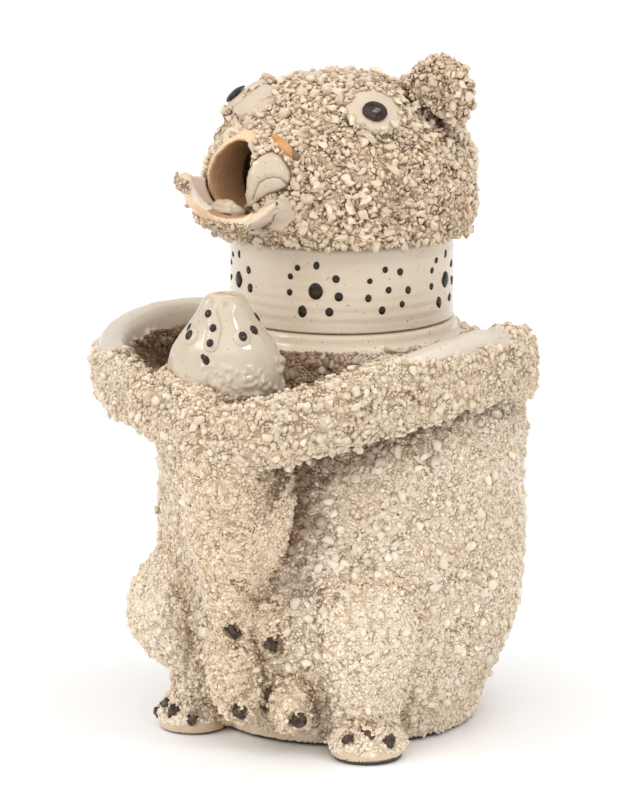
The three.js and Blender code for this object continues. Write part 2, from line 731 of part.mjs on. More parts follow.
// Hind paws and claws
function paw({ bearing, pawOut }, grow = 0) {
  const turn = new THREE.Quaternion().setFromAxisAngle(UP, radians(bearing));
  const centre = polar(BELLY_RADIUS + pawOut, bearing, PAW_MIDDLE);
  const halves = [PAW_HALF_WIDTH + grow, PAW_HALF_LENGTH + grow, PAW_RISE + grow];
  const pad = ellipsoid(centre, halves, BALL_FACETS, turn);
  const ground = new THREE.BoxGeometry(LARGE, LARGE, LARGE).translate(0, 0, -LARGE / 2 - grow);
  return pad.subtract(solid(ground));
}

function claw({ bearing, pawOut }, { angle, tilt }) {
  const level = Math.cos(radians(tilt));
  const ahead = PAW_HALF_LENGTH * Math.cos(radians(angle)) * level;
  const left = PAW_HALF_WIDTH * Math.sin(radians(angle)) * level;
  const height = PAW_MIDDLE + PAW_RISE * Math.sin(radians(tilt));
  const centre = polar(BELLY_RADIUS + pawOut + ahead, bearing, height);
  centre.addScaledVector(leftOf(bearing), left);
  const turn = new THREE.Quaternion().setFromAxisAngle(UP, radians(bearing + angle));
  const halves = [CLAW_HALF_WIDTH, CLAW_HALF_LENGTH, CLAW_HALF_WIDTH];
  return ellipsoid(centre, halves, SMALL_FACETS, turn);
}

// Dog
function dogTorso(grow = 0) {
  return limb(TORSO_STATIONS, DOG_BEARING, grow);
}

function dogHead(grow = 0) {
  const foot = polar(BELLY_RADIUS + DOG_HEAD_OUT, DOG_HEAD_BEARING, DOG_NECK_HEIGHT + LUTE_GAP);
  const placed = DOG_HEAD_STATIONS.map(({ rise, wide, deep }) => ({
    centre: foot.clone().addScaledVector(UP, rise),
    across: wide,
    other: deep,
  }));
  return sweep(placed, leftOf(DOG_FACE_TURN), DOG_HEAD_SWEEP, grow);
}

function onDogFace(angle, out, rise) {
  const axis = polar(BELLY_RADIUS + DOG_HEAD_OUT, DOG_HEAD_BEARING, DOG_NECK_HEIGHT + rise);
  return axis.addScaledVector(aheadOf(DOG_FACE_TURN + angle), out);
}

function dogEye(side) {
  const place = onDogFace(side * DOG_EYE_ANGLE, DOG_EYE_OUT, DOG_EYE_RISE);
  return ellipsoid(place, alike(DOG_EYE_RADIUS), SMALL_FACETS);
}

function noseStrip() {
  const acrossFace = new THREE.Vector3(1, 0, 0);
  const lean = new THREE.Quaternion().setFromAxisAngle(acrossFace, radians(-NOSE_STRIP_LEAN));
  const turn = new THREE.Quaternion().setFromAxisAngle(UP, radians(DOG_FACE_TURN)).multiply(lean);
  const place = onDogFace(0, NOSE_STRIP_OUT, NOSE_STRIP_RISE);
  const halves = [NOSE_STRIP_HALF_WIDTH, NOSE_STRIP_BULGE, NOSE_STRIP_HALF_LENGTH];
  return ellipsoid(place, halves, SMALL_FACETS, turn);
}

function dogClaw({ bearing, stations }) {
  const toe = stations[stations.length - 1];
  const facing = bearing + DOG_CLAW_TURN;
  const place = polar(BELLY_RADIUS + toe.out, bearing, toe.height + DOG_CLAW_LIFT);
  place.addScaledVector(aheadOf(facing), toe.deep + DOG_CLAW_PROUD);
  const turn = new THREE.Quaternion().setFromAxisAngle(UP, radians(facing));
  const halves = [DOG_CLAW_HALF_WIDTH, DOG_CLAW_BULGE, DOG_CLAW_HALF_HEIGHT];
  return ellipsoid(place, halves, SMALL_FACETS, turn);
}

// Finishes
const FUR = { color: 0xdccab0, roughness: 0.6 };
const GLAZE = { color: 0xece2d0, roughness: 0.25 };
const SLIP = { color: 0x35281f, roughness: 0.2 };

function piece(name, manifold, finish) {
  const material = new THREE.MeshStandardMaterial({ ...finish, metalness: 0 });
  const mesh = new THREE.Mesh(geometryOf(manifold), material);
  mesh.name = name;
  return mesh;
}

// Assembly: each piece is cut by the larger ones that it is luted to
function jugPieces() {
  const pot = jugEnvelope(LUTE_GAP);
  const torsoGap = dogTorso(LUTE_GAP);
  const headGap = dogHead(LUTE_GAP);
  const leftArmGap = arm(LEFT_ARM_ROUTE, LUTE_GAP);
  const pieces = [
    piece('jug_body', jugBody(), FUR),
    piece('left_arm', cut(arm(LEFT_ARM_ROUTE), pot, torsoGap, headGap), FUR),
    piece('right_arm', cut(arm(RIGHT_ARM_ROUTE), pot, torsoGap, headGap, leftArmGap), FUR),
    piece('dog_torso', cut(dogTorso(), pot, headGap, spoutChannel()), FUR),
    piece('dog_head', cut(dogHead(), pot, spoutChannel()), GLAZE),
    piece('dog_right_eye', cut(dogEye(-1), headGap), GLAZE),
    piece('dog_left_eye', cut(dogEye(1), headGap), GLAZE),
    piece('dog_nose_strip', cut(noseStrip(), headGap, spoutChannel()), GLAZE),
  ];
  const nearer = [pot, torsoGap];
  for (const leg of DOG_LEGS) {
    pieces.push(piece(leg.name, cut(limb(leg.stations, leg.bearing), ...nearer), FUR));
    nearer.push(limb(leg.stations, leg.bearing, LUTE_GAP));
  }
  for (const leg of DOG_LEGS) {
    pieces.push(piece(leg.name.replace('leg', 'claw'), cut(dogClaw(leg), ...nearer), SLIP));
  }
  const sides = [
    {
      side: 'right',
      bearing: RIGHT_LEG_BEARING,
      stations: RIGHT_LEG_STATIONS,
      pawOut: RIGHT_PAW_OUT,
      claws: RIGHT_CLAWS,
    },
    {
      side: 'left',
      bearing: LEFT_LEG_BEARING,
      stations: LEFT_LEG_STATIONS,
      pawOut: LEFT_PAW_OUT,
      claws: LEFT_CLAWS,
    },
  ];
  for (const leg of sides) {
    const legGap = limb(leg.stations, leg.bearing, LUTE_GAP);
    const pawGap = paw(leg, LUTE_GAP);
    pieces.push(piece(`${leg.side}_hind_leg`, cut(limb(leg.stations, leg.bearing), pot, pawGap), FUR));
    pieces.push(piece(`${leg.side}_hind_paw`, cut(paw(leg), pot), FUR));
    leg.claws.forEach((spread, k) => {
      pieces.push(piece(`${leg.side}_claw_${k + 1}`, cut(claw(leg, spread), pawGap, legGap, pot), SLIP));
    });
  }
  return pieces;
}

function coverPieces() {
  const skull = headEnvelope(LUTE_GAP);
  const jawGap = jawShell(LUTE_GAP);
  const pieces = [
    piece('collar', collar(), GLAZE),
    piece('head_shell', headShell(), FUR),
    piece('lower_jaw', cut(jawShell(0), skull), FUR),
    piece('tongue', cut(tongue(), skull, jawGap), GLAZE),
    piece('left_ear', cut(ear(), skull), FUR),
  ];
  for (const [name, side] of [['right', -1], ['left', 1]]) {
    pieces.push(piece(`${name}_eye`, cut(eyeWhite(side, 0), skull), GLAZE));
    pieces.push(piece(`${name}_pupil`, cut(pupil(side), eyeWhite(side, LUTE_GAP)), SLIP));
  }
  return pieces;
}

const bearJug = new THREE.Group();
const cover = new THREE.Group();
cover.add(...coverPieces());
bearJug.add(...jugPieces(), cover);

export default bearJug;
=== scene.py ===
"""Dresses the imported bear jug: its coat of clay crumbs, its salt glaze and its slip ornament."""

from __future__ import annotations

import logging
import math
from dataclasses import dataclass
from enum import Enum
from typing import Callable, Sequence

import bmesh
import bpy
import numpy as np
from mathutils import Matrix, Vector
from mathutils.bvhtree import BVHTree
from mathutils.kdtree import KDTree

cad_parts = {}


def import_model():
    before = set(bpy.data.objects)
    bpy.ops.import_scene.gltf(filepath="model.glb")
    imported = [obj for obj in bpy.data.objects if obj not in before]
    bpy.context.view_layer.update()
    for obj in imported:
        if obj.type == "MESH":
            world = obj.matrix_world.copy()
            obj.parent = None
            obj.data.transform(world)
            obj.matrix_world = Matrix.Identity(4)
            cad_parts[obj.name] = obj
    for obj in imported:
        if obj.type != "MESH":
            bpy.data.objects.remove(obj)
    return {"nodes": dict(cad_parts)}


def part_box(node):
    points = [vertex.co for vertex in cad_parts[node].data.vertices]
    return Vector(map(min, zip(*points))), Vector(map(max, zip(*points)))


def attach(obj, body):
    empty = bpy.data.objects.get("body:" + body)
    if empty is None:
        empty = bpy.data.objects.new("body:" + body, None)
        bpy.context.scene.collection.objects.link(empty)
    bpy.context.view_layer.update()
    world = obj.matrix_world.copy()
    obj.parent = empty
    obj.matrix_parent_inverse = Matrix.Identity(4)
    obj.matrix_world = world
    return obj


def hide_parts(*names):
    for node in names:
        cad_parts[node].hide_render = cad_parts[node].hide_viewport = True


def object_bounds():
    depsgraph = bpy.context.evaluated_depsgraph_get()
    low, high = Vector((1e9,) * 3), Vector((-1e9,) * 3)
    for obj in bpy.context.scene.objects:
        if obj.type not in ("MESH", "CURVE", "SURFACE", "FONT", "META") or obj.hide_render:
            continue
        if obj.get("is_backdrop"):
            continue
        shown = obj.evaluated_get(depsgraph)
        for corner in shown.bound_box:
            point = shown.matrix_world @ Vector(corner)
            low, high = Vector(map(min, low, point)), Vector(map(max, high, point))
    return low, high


LOG = logging.getLogger("bear_jug")
BAKE_MAP = "OFBake"
MM = 0.001
PIECE_FACES = 190_000  # the most that one piece of loose crumbs may have
# The run from pit to tip is painted shade: a crumb's colour darkens low down, where it meets the skin and its
# neighbours.
LIFT_SPAN = 2.3 * MM  # height over which a crumb's colour runs from pit to tip
LOOSE_LIFT, MELTED_LIFT = 0.3, 0.08  # where that run starts on loose crumbs and on the coat
GROUND = 0.1 * MM  # loose crumbs stay over this
AIR_START = 1.6 * MM  # how far over a surface the open air is looked at
FACE_FILL = 0.45  # reach of a face in its square of the baked picture, as a share of the side
CRUMB_FILL = 0.48  # the same for a crumb
LOOSE_SEED = 500  # parts the scatter of the loose crumbs from that of the melted ones

Rows = np.ndarray
Rule = Callable[[Rows, Rows], Rows]  # picks places by their points and normals
Field = Callable[[Rows, Rows], Rows]  # gives a value to places by their points and normals
Pairs = tuple[tuple[float, float], ...]
Pixels = Pairs  # column and row in the photograph's frame
Relief = Pairs  # cell size and depth of each layer of noise, in millimetres
Mesh = bpy.types.Mesh
Material = bpy.types.Material
Socket = bpy.types.NodeSocket


class Body(str, Enum):
    """The two bodies of the frame."""

    JUG = "jug"
    COVER = "head_cover"


class Slot(str, Enum):
    """The record's finishes."""

    CRUMB = "crumb_coat"
    GLAZE = "cream_glaze"
    SLIP = "brown_slip"


# Numbers and noise


def cell_values(cells: Rows, seed: int) -> Rows:
    """Give each lattice cell, a row of whole numbers, its own repeatable value from -1 to 1."""
    mixed = cells[:, 0] * 73856093 ^ cells[:, 1] * 19349663 ^ cells[:, 2] * 83492791 ^ seed * 40503
    mixed = ((mixed ^ (mixed >> 13)) * 1274126177) & 0x7FFFFFFF
    mixed = mixed ^ (mixed >> 16)
    return (mixed & 0xFFFF) / 32767.5 - 1


def grain(points: Rows, cell: float, seed: int) -> Rows:
    """Smooth value noise at points in space.

    Args:
        points: Places, one row each.
        cell: Size of the noise's cells, in millimetres.
        seed: Chooses the field.

    Returns:
        Values from -1 to 1.
    """
    scaled = points / (cell * MM)
    base = np.floor(scaled).astype(np.int64)
    part = scaled - base
    part = part * part * (3 - 2 * part)
    total = np.zeros(len(points))
    for corner in range(8):
        offset = np.array([corner & 1, corner >> 1 & 1, corner >> 2 & 1])
        weight = np.prod(np.where(offset == 1, part, 1 - part), axis=1)
        total += weight * cell_values(base + offset, seed)
    return total


def bearing_of(points: Rows) -> Rows:
    """Angle round the jug's axis, in degrees from the bear's front towards its left."""
    return np.degrees(np.arctan2(points[:, 0], -points[:, 1]))


def radius_of(points: Rows) -> Rows:
    """Distance from the jug's axis."""
    return np.hypot(points[:, 0], points[:, 1])


def outwardness(points: Rows, normals: Rows) -> Rows:
    """How far each surface faces away from the jug's axis, from -1 to 1."""
    radius = np.maximum(radius_of(points), 1e-6)
    return (points[:, 0] * normals[:, 0] + points[:, 1] * normals[:, 1]) / radius


def length(rows: Rows) -> Rows:
    """Length of each row."""
    return np.linalg.norm(rows, axis=1)


def unit(rows: Rows) -> Rows:
    """Rows scaled to length one."""
    return rows / np.maximum(np.linalg.norm(rows, axis=-1, keepdims=True), 1e-12)


# Finishes


@dataclass(frozen=True)
class Tint:
    """A display colour, each part from 0 to 255."""

    red: int
    green: int
    blue: int

    def linear(self) -> tuple[float, float, float, float]:
        """The colour as linear light, with full cover."""
        parts = [part / 255 for part in (self.red, self.green, self.blue)]
        curve = [p / 12.92 if p <= 0.04045 else ((p + 0.055) / 1.055) ** 2.4 for p in parts]
        return (curve[0], curve[1], curve[2], 1.0)


class NodeSheet:
    """Lays out the nodes of one material."""

    def __init__(self, name: str) -> None:
        """Start a material of that name with a shader and its output."""
        self.material = bpy.data.materials.new(name)
        self.material.use_nodes = True
        self.tree = self.material.node_tree
        self.tree.nodes.clear()
        self.shader = self.add("ShaderNodeBsdfPrincipled")
        out = self.add("ShaderNodeOutputMaterial")
        self.join(self.shader.outputs["BSDF"], out.inputs["Surface"])
        self.place = self.add("ShaderNodeTexCoord").outputs["Object"]

    def add(self, kind: str, **inputs: float) -> bpy.types.Node:
        """Add a node of Blender's kind, with values for its inputs, named with _ for a space."""
        node = self.tree.nodes.new(kind)
        for key, value in inputs.items():
            node.inputs[key.replace("_", " ")].default_value = value
        return node

    def join(self, source: Socket, target: Socket) -> None:
        """Link an output to an input."""
        self.tree.links.new(source, target)

    def noise(self, scale: float, detail: float = 2.0) -> Socket:
        """Noise over the piece by its own coordinates: cells per metre, and layers of finer noise."""
        node = self.add("ShaderNodeTexNoise", Scale=scale, Detail=detail)
        self.join(self.place, node.inputs["Vector"])
        return node.outputs["Fac"]

    def attribute(self, name: str) -> Socket:
        """The value of a mesh attribute."""
        node = self.add("ShaderNodeAttribute")
        node.attribute_name = name
        return node.outputs["Fac"]

    def ramp(self, value: Socket, stops: Sequence[tuple[float, Tint]]) -> Socket:
        """Turn a value into a colour by stops, places from 0 to 1 with their tints."""
        node = self.add("ShaderNodeValToRGB")
        band = node.color_ramp.elements
        while len(band) < len(stops):
            band.new(0.5)
        for element, (place, tint) in zip(band, stops):
            element.position = place
            element.color = tint.linear()
        self.join(value, node.inputs["Fac"])
        return node.outputs["Color"]

    def spread(
        self, value: Socket, low: float, high: float, to_low: float, to_high: float
    ) -> Socket:
        """Map a value from one range to another, held at the ends."""
        node = self.add("ShaderNodeMapRange", From_Min=low, From_Max=high, To_Min=to_low, To_Max=to_high)
        self.join(value, node.inputs["Value"])
        return node.outputs["Result"]

    def blend(self, share: Socket, under: Socket, over: Tint) -> Socket:
        """Lay a tint over a colour by a share."""
        node = self.tree.nodes.new("ShaderNodeMix")
        node.data_type = "RGBA"
        colours = [socket for socket in node.inputs if socket.type == "RGBA"]
        colours[1].default_value = over.linear()
        self.join(share, node.inputs["Factor"])
        self.join(under, colours[0])
        return [socket for socket in node.outputs if socket.type == "RGBA"][0]

    def brighten(self, colour: Socket, value: Socket) -> Socket:
        """Scale a colour's brightness by a value."""
        node = self.add("ShaderNodeHueSaturation")
        self.join(value, node.inputs["Value"])
        self.join(colour, node.inputs["Color"])
        return node.outputs["Color"]

    def bump(self, height: Socket, strength: float, depth: float) -> None:
        """Give the shader a fine relief."""
        node = self.add("ShaderNodeBump", Strength=strength, Distance=depth)
        self.join(height, node.inputs["Height"])
        self.join(node.outputs["Normal"], self.shader.inputs["Normal"])

    def paint(self, colour: Socket) -> None:
        """Send a colour to the shader."""
        self.join(colour, self.shader.inputs["Base Color"])

    def gloss(self, value: Socket) -> None:
        """Send a roughness to the shader."""
        self.join(value, self.shader.inputs["Roughness"])

    def fix(self, **inputs: float) -> None:
        """Set inputs of the shader that are the same all over, named with _ for a space."""
        for key, value in inputs.items():
            self.shader.inputs[key.replace("_", " ")].default_value = value


@dataclass(frozen=True)
class CrumbFinish:
    """Salt-glazed crumbs: pale on top and darker low down, where the pit tint paints shade between the crumbs over
    some brown glaze; the hollow tint paints shade in recesses.
    """

    name: str
    tip: Tint
    side: Tint
    pit: Tint
    # tint of the brown stain patches
    stain_and_shade: Tint
    hollow: Tint
    stain_share: float = 0.35
    pool_share: float = 0.6
    tones: tuple[float, float] = (0.84, 1.1)
    heights: tuple[float, float, float] = (0.0, 0.3, 0.72)
    stain_scale: float = 46.0
    pool_scale: float = 31.0
    grain_scale: float = 1500.0
    hollow_share: float = 0.85
    gloss: tuple[float, float] = (0.24, 0.5)
    shine: float = 0.42

    def material(self) -> Material:
        """Build the finish from the crumbs' height, their own tone and how shut in they are; the height and the
        recess paint shade.
        """
        sheet = NodeSheet(self.name)
        # painted shade: the ramp runs from the dark pit low on each crumb, where shade falls between crumbs, to the
        # pale tip
        stops = list(zip(self.heights, (self.pit, self.side, self.tip)))
        colour = sheet.ramp(sheet.attribute("lift"), stops)
        patch = sheet.spread(sheet.noise(self.stain_scale, 3), 0.46, 0.72, 0, self.stain_share)
        colour = sheet.blend(patch, colour, self.stain_and_shade)
        pool = sheet.spread(sheet.noise(self.pool_scale, 3), 0.5, 0.68, 0, self.pool_share)
        colour = sheet.blend(pool, colour, self.side)
        # painted shade: places shut in by other parts, and the painted shade added to the recess, take the hollow
        # tint
        shade = sheet.spread(sheet.attribute("recess"), 0.26, 0.75, 0, self.hollow_share)
        colour = sheet.blend(shade, colour, self.hollow)
        tone = sheet.spread(sheet.attribute("tone"), 0, 1, *self.tones)
        sheet.paint(sheet.brighten(colour, tone))
        sheet.gloss(sheet.spread(sheet.noise(260), 0.35, 0.7, *self.gloss))
        sheet.bump(sheet.noise(self.grain_scale, 3), 0.3, 0.25 * MM)
        sheet.fix(Specular_IOR_Level=self.shine)
        return sheet.material


@dataclass(frozen=True)
class GlazeFinish:
    """Smooth salt glaze with soft clouding and tiny specks."""

    name: str
    ground: Tint
    cloud: Tint
    speck: Tint
    roughness: float = 0.16
    cloud_scale: float = 38.0
    speck_scale: float = 760.0

    def material(self) -> Material:
        """Build the finish."""
        sheet = NodeSheet(self.name)
        colour = sheet.ramp(sheet.noise(self.cloud_scale, 4), [(0.36, self.ground), (0.74, self.cloud)])
        specks = sheet.spread(sheet.noise(self.speck_scale, 1), 0.71, 0.76, 0, 0.75)
        sheet.paint(sheet.blend(specks, colour, self.speck))
        sheet.gloss(sheet.spread(sheet.noise(120), 0.3, 0.75, self.roughness, self.roughness + 0.12))
        sheet.bump(sheet.noise(210, 2), 0.12, 0.5 * MM)
        sheet.fix(Coat_Weight=0.25, Coat_Roughness=0.08)
        return sheet.material


@dataclass(frozen=True)
class SlipFinish:
    """Glossy dark slip that thins to brown."""

    name: str
    ground: Tint
    thin: Tint

    def material(self) -> Material:
        """Build the finish."""
        sheet = NodeSheet(self.name)
        sheet.paint(sheet.ramp(sheet.noise(420, 3), [(0.42, self.ground), (0.75, self.thin)]))
        sheet.gloss(sheet.spread(sheet.noise(300), 0.3, 0.7, 0.05, 0.14))
        sheet.bump(sheet.noise(900), 0.1, 0.2 * MM)
        sheet.fix(Specular_IOR_Level=0.3)
        return sheet.material


@dataclass(frozen=True)
class ClayFinish:
    """Bare fired clay, dull and a little sandy."""

    name: str
    ground: Tint
    shade: Tint
    scale: float = 180.0
    roughness: float = 0.6

    def material(self) -> Material:
        """Build the finish."""
        sheet = NodeSheet(self.name)
        sheet.paint(sheet.ramp(sheet.noise(self.scale, 4), [(0.35, self.ground), (0.7, self.shade)]))
        sheet.gloss(sheet.spread(sheet.noise(500), 0.3, 0.7, self.roughness - 0.1, self.roughness + 0.1))
        sheet.bump(sheet.noise(1400, 3), 0.25, 0.3 * MM)
        return sheet.material


class Palette:
    """Every finish on the jug, made once."""

    def __init__(self) -> None:
        """Make the materials."""
        # In each crumb finish the pit tint is painted shade low between the crumbs, with some brown glaze, and the
        # hollow tint is painted shade in recesses.
        self.body = CrumbFinish(
            "body_crumbs", Tint(240, 227, 208), Tint(226, 208, 184), Tint(182, 154, 122), Tint(220, 194, 162),
            Tint(134, 100, 70), tones=(0.79, 1.12),
        ).material()
        self.arm = CrumbFinish(
            "arm_crumbs", Tint(229, 214, 192), Tint(214, 194, 168), Tint(172, 143, 112), Tint(214, 189, 157),
            Tint(120, 89, 62), tones=(0.8, 1.12),
        ).material()
        self.limb = CrumbFinish(
            "limb_crumbs", Tint(240, 225, 203), Tint(226, 205, 178), Tint(184, 155, 122), Tint(224, 199, 166),
            Tint(128, 95, 65),
        ).material()
        self.leg = CrumbFinish(
            "leg_crumbs", Tint(245, 233, 215), Tint(235, 219, 196), Tint(203, 177, 147), Tint(233, 211, 183),
            Tint(146, 112, 82), pool_share=0.8,
        ).material()
        self.head = CrumbFinish(
            "head_crumbs", Tint(229, 211, 187), Tint(199, 174, 146), Tint(108, 83, 60), Tint(196, 167, 134),
            Tint(104, 78, 55), 0.35, 0.15, (0.76, 1.13), (0.12, 0.42, 0.82),
        ).material()
        self.glaze = GlazeFinish(
            "cream_salt_glaze", Tint(227, 211, 189), Tint(219, 200, 176), Tint(140, 104, 72)
        ).material()
        self.strap_glaze = GlazeFinish(
            "strap_salt_glaze", Tint(213, 201, 184), Tint(204, 189, 169), Tint(150, 118, 86)
        ).material()
        self.pale_glaze = GlazeFinish(
            "pale_salt_glaze", Tint(229, 213, 194), Tint(219, 200, 178), Tint(160, 126, 92), 0.1
        ).material()
        self.dog_glaze = GlazeFinish(
            "white_salt_glaze", Tint(201, 187, 167), Tint(193, 177, 152), Tint(170, 140, 104), 0.07
        ).material()
        self.eye_glaze = GlazeFinish(
            "eye_salt_glaze", Tint(209, 191, 168), Tint(197, 177, 151), Tint(160, 126, 92), 0.3
        ).material()
        # a darker copy of the cream glaze for the fold and the mouth's glazed edge: painted shade of the mouth, over
        # the glaze's own colour
        self.shaded_fold_glaze = GlazeFinish(
            "shaded_fold_salt_glaze", Tint(203, 186, 164), Tint(189, 170, 146), Tint(140, 108, 80), 0.06
        ).material()
        self.rose = GlazeFinish(
            "rosy_salt_glaze", Tint(210, 186, 162), Tint(200, 173, 148), Tint(160, 126, 100), 0.15
        ).material()
        self.slip = SlipFinish("dark_slip", Tint(38, 27, 20), Tint(70, 52, 41)).material()
        self.claw = SlipFinish("claw_slip", Tint(46, 35, 28), Tint(98, 80, 68)).material()
        # brown wash of the pot's inside and the broken edge, also painted shade in the fold's crease
        self.wash_and_shade = ClayFinish("brown_wash_and_shade", Tint(128, 99, 70), Tint(104, 80, 57), 60, 0.45).material()
        self.throat = ClayFinish("brown_throat", Tint(186, 146, 108), Tint(164, 126, 92), 60, 0.3).material()
        self.inner = ClayFinish("pale_inside", Tint(248, 228, 198), Tint(242, 216, 182), 60, 0.3).material()
        # the dark band where the pot and the paws meet the floor: painted contact shadow
        self.foot = ClayFinish("bare_foot", Tint(74, 60, 48), Tint(52, 42, 35)).material()
        self.lip = ClayFinish("tan_lip", Tint(230, 200, 166), Tint(218, 184, 146), 120, 0.4).material()
        self.rim = ClayFinish("pale_rim", Tint(230, 211, 183), Tint(220, 197, 165), 150, 0.3).material()
        self.scar = ClayFinish("orange_scar", Tint(205, 150, 92), Tint(184, 124, 68), 240, 0.4).material()


# Meshes


def column(items: bpy.types.bpy_prop_collection, key: str, width: int = 1, kind: type = float) -> Rows:
    """Read a value of every point, corner or face of a mesh, in rows where it has several numbers."""
    values = np.empty(width * len(items), dtype=kind)
    items.foreach_get(key, values)
    return values.reshape(-1, width) if width > 1 else values


def nearest_tree(points: Rows) -> KDTree:
    """Places sorted for finding the nearest ones."""
    tree = KDTree(len(points))
    for index, point in enumerate(points):
        tree.insert(point, index)
    tree.balance()
    return tree


def ring_faces(rings: int, sides: int, closed: bool) -> list[tuple[int, int, int]]:
    """Make the triangles between rings of points.

    Args:
        rings: How many rings there are.
        sides: How many points each has.
        closed: Whether the last ring joins the first.

    Returns:
        Corners of each triangle.
    """
    faces = []
    for ring in range(rings if closed else rings - 1):
        here, there = ring * sides, (ring + 1) % rings * sides
        for j in range(sides):
            after = (j + 1) % sides
            faces += [(here + j, there + j, there + after), (here + j, there + after, here + after)]
    return faces


def placed(name: str, data: bpy.types.ID) -> bpy.types.Object:
    """Put a mesh, a lamp or a lens into the scene."""
    thing = bpy.data.objects.new(name, data)
    bpy.context.scene.collection.objects.link(thing)
    return thing


@dataclass
class Shell:
    """A surface of triangles with a normal at each point, in metres."""

    points: Rows
    normals: Rows
    triangles: Rows

    @classmethod
    def read(cls, mesh: Mesh) -> Shell:
        """Read a mesh's triangles."""
        mesh.calc_loop_triangles()
        points, normals = column(mesh.vertices, "co", 3), column(mesh.vertices, "normal", 3)
        return cls(points, normals, column(mesh.loop_triangles, "vertices", 3, np.int32))

    @classmethod
    def taken(cls, mesh: Mesh) -> Shell:
        """Read a mesh's triangles and throw the mesh away."""
        shell = cls.read(mesh)
        bpy.data.meshes.remove(mesh)
        return shell

    @classmethod
    def joined(cls, shells: Sequence[Shell]) -> Shell:
        """Put the triangles of several shells together."""
        starts = np.cumsum([0] + [len(shell.points) for shell in shells])
        return cls(
            np.concatenate([shell.points for shell in shells]),
            np.concatenate([shell.normals for shell in shells]),
            np.concatenate([shell.triangles + start for shell, start in zip(shells, starts)]),
        )

    def sample(self, count: int, rng: np.random.Generator) -> tuple[Rows, Rows]:
        """Scatter places evenly over the surface.

        Args:
            count: How many places.
            rng: Source of chance.

        Returns:
            Their points and normals.
        """
        a, b, c = (self.points[self.triangles[:, k]] for k in range(3))
        area = length(np.cross(b - a, c - a)) / 2
        chosen = rng.choice(len(area), size=count, p=area / area.sum())
        u, v = np.sqrt(rng.random(count)), rng.random(count)
        weights = np.stack([1 - u, u * (1 - v), u * v], axis=1)[:, :, None]
        corners = self.triangles[chosen]
        points = (self.points[corners] * weights).sum(axis=1)
        normals = unit((self.normals[corners] * weights).sum(axis=1))
        return points, normals

    def tree(self) -> BVHTree:
        """The surface's faces, for finding the nearest one or what a ray meets."""
        return BVHTree.FromPolygons([Vector(point) for point in self.points], self.triangles.tolist())

    def area(self) -> float:
        """The surface's area."""
        a, b, c = (self.points[self.triangles[:, k]] for k in range(3))
        return float(length(np.cross(b - a, c - a)).sum() / 2.0)


def ball(rounds: int) -> tuple[Rows, Rows]:
    """Points and triangles of a ball of radius one."""
    shape = bmesh.new()
    bmesh.ops.create_icosphere(shape, subdivisions=rounds, radius=1.0)
    points = np.array([v.co[:] for v in shape.verts])
    triangles = np.array([[v.index for v in f.verts] for f in shape.faces], dtype=np.int32)
    shape.free()
    return points, triangles


def mesh_of(name: str, points: Rows, triangles: Rows) -> Mesh:
    """Make a smooth mesh from arrays.

    Args:
        name: The mesh's name.
        points: Places, one row each.
        triangles: Corners of each face.

    Returns:
        The mesh.
    """
    mesh = bpy.data.meshes.new(name)
    mesh.vertices.add(len(points))
    mesh.vertices.foreach_set("co", np.ascontiguousarray(points, dtype=np.float32).ravel())
    mesh.loops.add(3 * len(triangles))
    mesh.loops.foreach_set("vertex_index", np.ascontiguousarray(triangles, dtype=np.int32).ravel())
    mesh.polygons.add(len(triangles))
    mesh.polygons.foreach_set("loop_start", np.arange(0, 3 * len(triangles), 3, dtype=np.int32))
    mesh.update(calc_edges=True)
    mesh.shade_smooth()
    return mesh


def set_values(mesh: Mesh, name: str, values: Rows) -> None:
    """Keep one value per point on a mesh."""
    layer = mesh.attributes.new(name, "FLOAT", "POINT")
    layer.data.foreach_set("value", np.ascontiguousarray(values, dtype=np.float32))


def cell_map(mesh: Mesh) -> None:
    """Give each face of a mesh its own small square of the picture that colours are baked into."""
    faces, corners = len(mesh.polygons), len(mesh.loops)
    starts = column(mesh.polygons, "loop_start", kind=np.int32)
    totals = column(mesh.polygons, "loop_total", kind=np.int32)
    side = math.ceil(math.sqrt(faces))
    number = np.repeat(np.arange(faces), totals)
    turn = 2 * math.pi * (np.arange(corners) - np.repeat(starts, totals)) / np.repeat(totals, totals)
    middle = np.stack([number % side, number // side], axis=1) + 0.5
    flat = (middle + FACE_FILL * np.stack([np.cos(turn), np.sin(turn)], axis=1)) / side
    mesh.uv_layers.new(name=BAKE_MAP).data.foreach_set("uv", flat.astype(np.float32).ravel())


def evened(shell: Shell, name: str, voxel: float, rounds: int) -> Mesh:
    """Rebuild closed surfaces as one fine even mesh, softened.

    Args:
        shell: The surfaces; they may overlap.
        name: Name of the mesh.
        voxel: Size of the new faces.
        rounds: Rounds of smoothing.

    Returns:
        The new mesh.
    """
    source = mesh_of(f"{name}_source", shell.points, shell.triangles)
    copy = placed(f"{name}_source", source)
    remesh = copy.modifiers.new("even", "REMESH")
    remesh.mode = "VOXEL"
    remesh.voxel_size = voxel
    soften = copy.modifiers.new("soften", "SMOOTH")
    soften.factor = 0.5
    soften.iterations = rounds
    ready = copy.evaluated_get(bpy.context.evaluated_depsgraph_get())
    mesh = bpy.data.meshes.new_from_object(ready)
    bpy.data.objects.remove(copy)
    bpy.data.meshes.remove(source)
    mesh.name = name
    mesh.materials.clear()
    mesh.shade_smooth()
    return mesh


def seated(points: Rows, shell: Shell) -> tuple[Rows, Rows, Rows]:
    """Find the nearest places on a surface, the way it faces there, and the height over it."""
    tree = shell.tree()
    seats, ways = np.empty_like(points), np.empty_like(points)
    for index, point in enumerate(points):
        seats[index], ways[index], _, _ = tree.find_nearest(point)
    return seats, ways, ((points - seats) * ways).sum(axis=1)


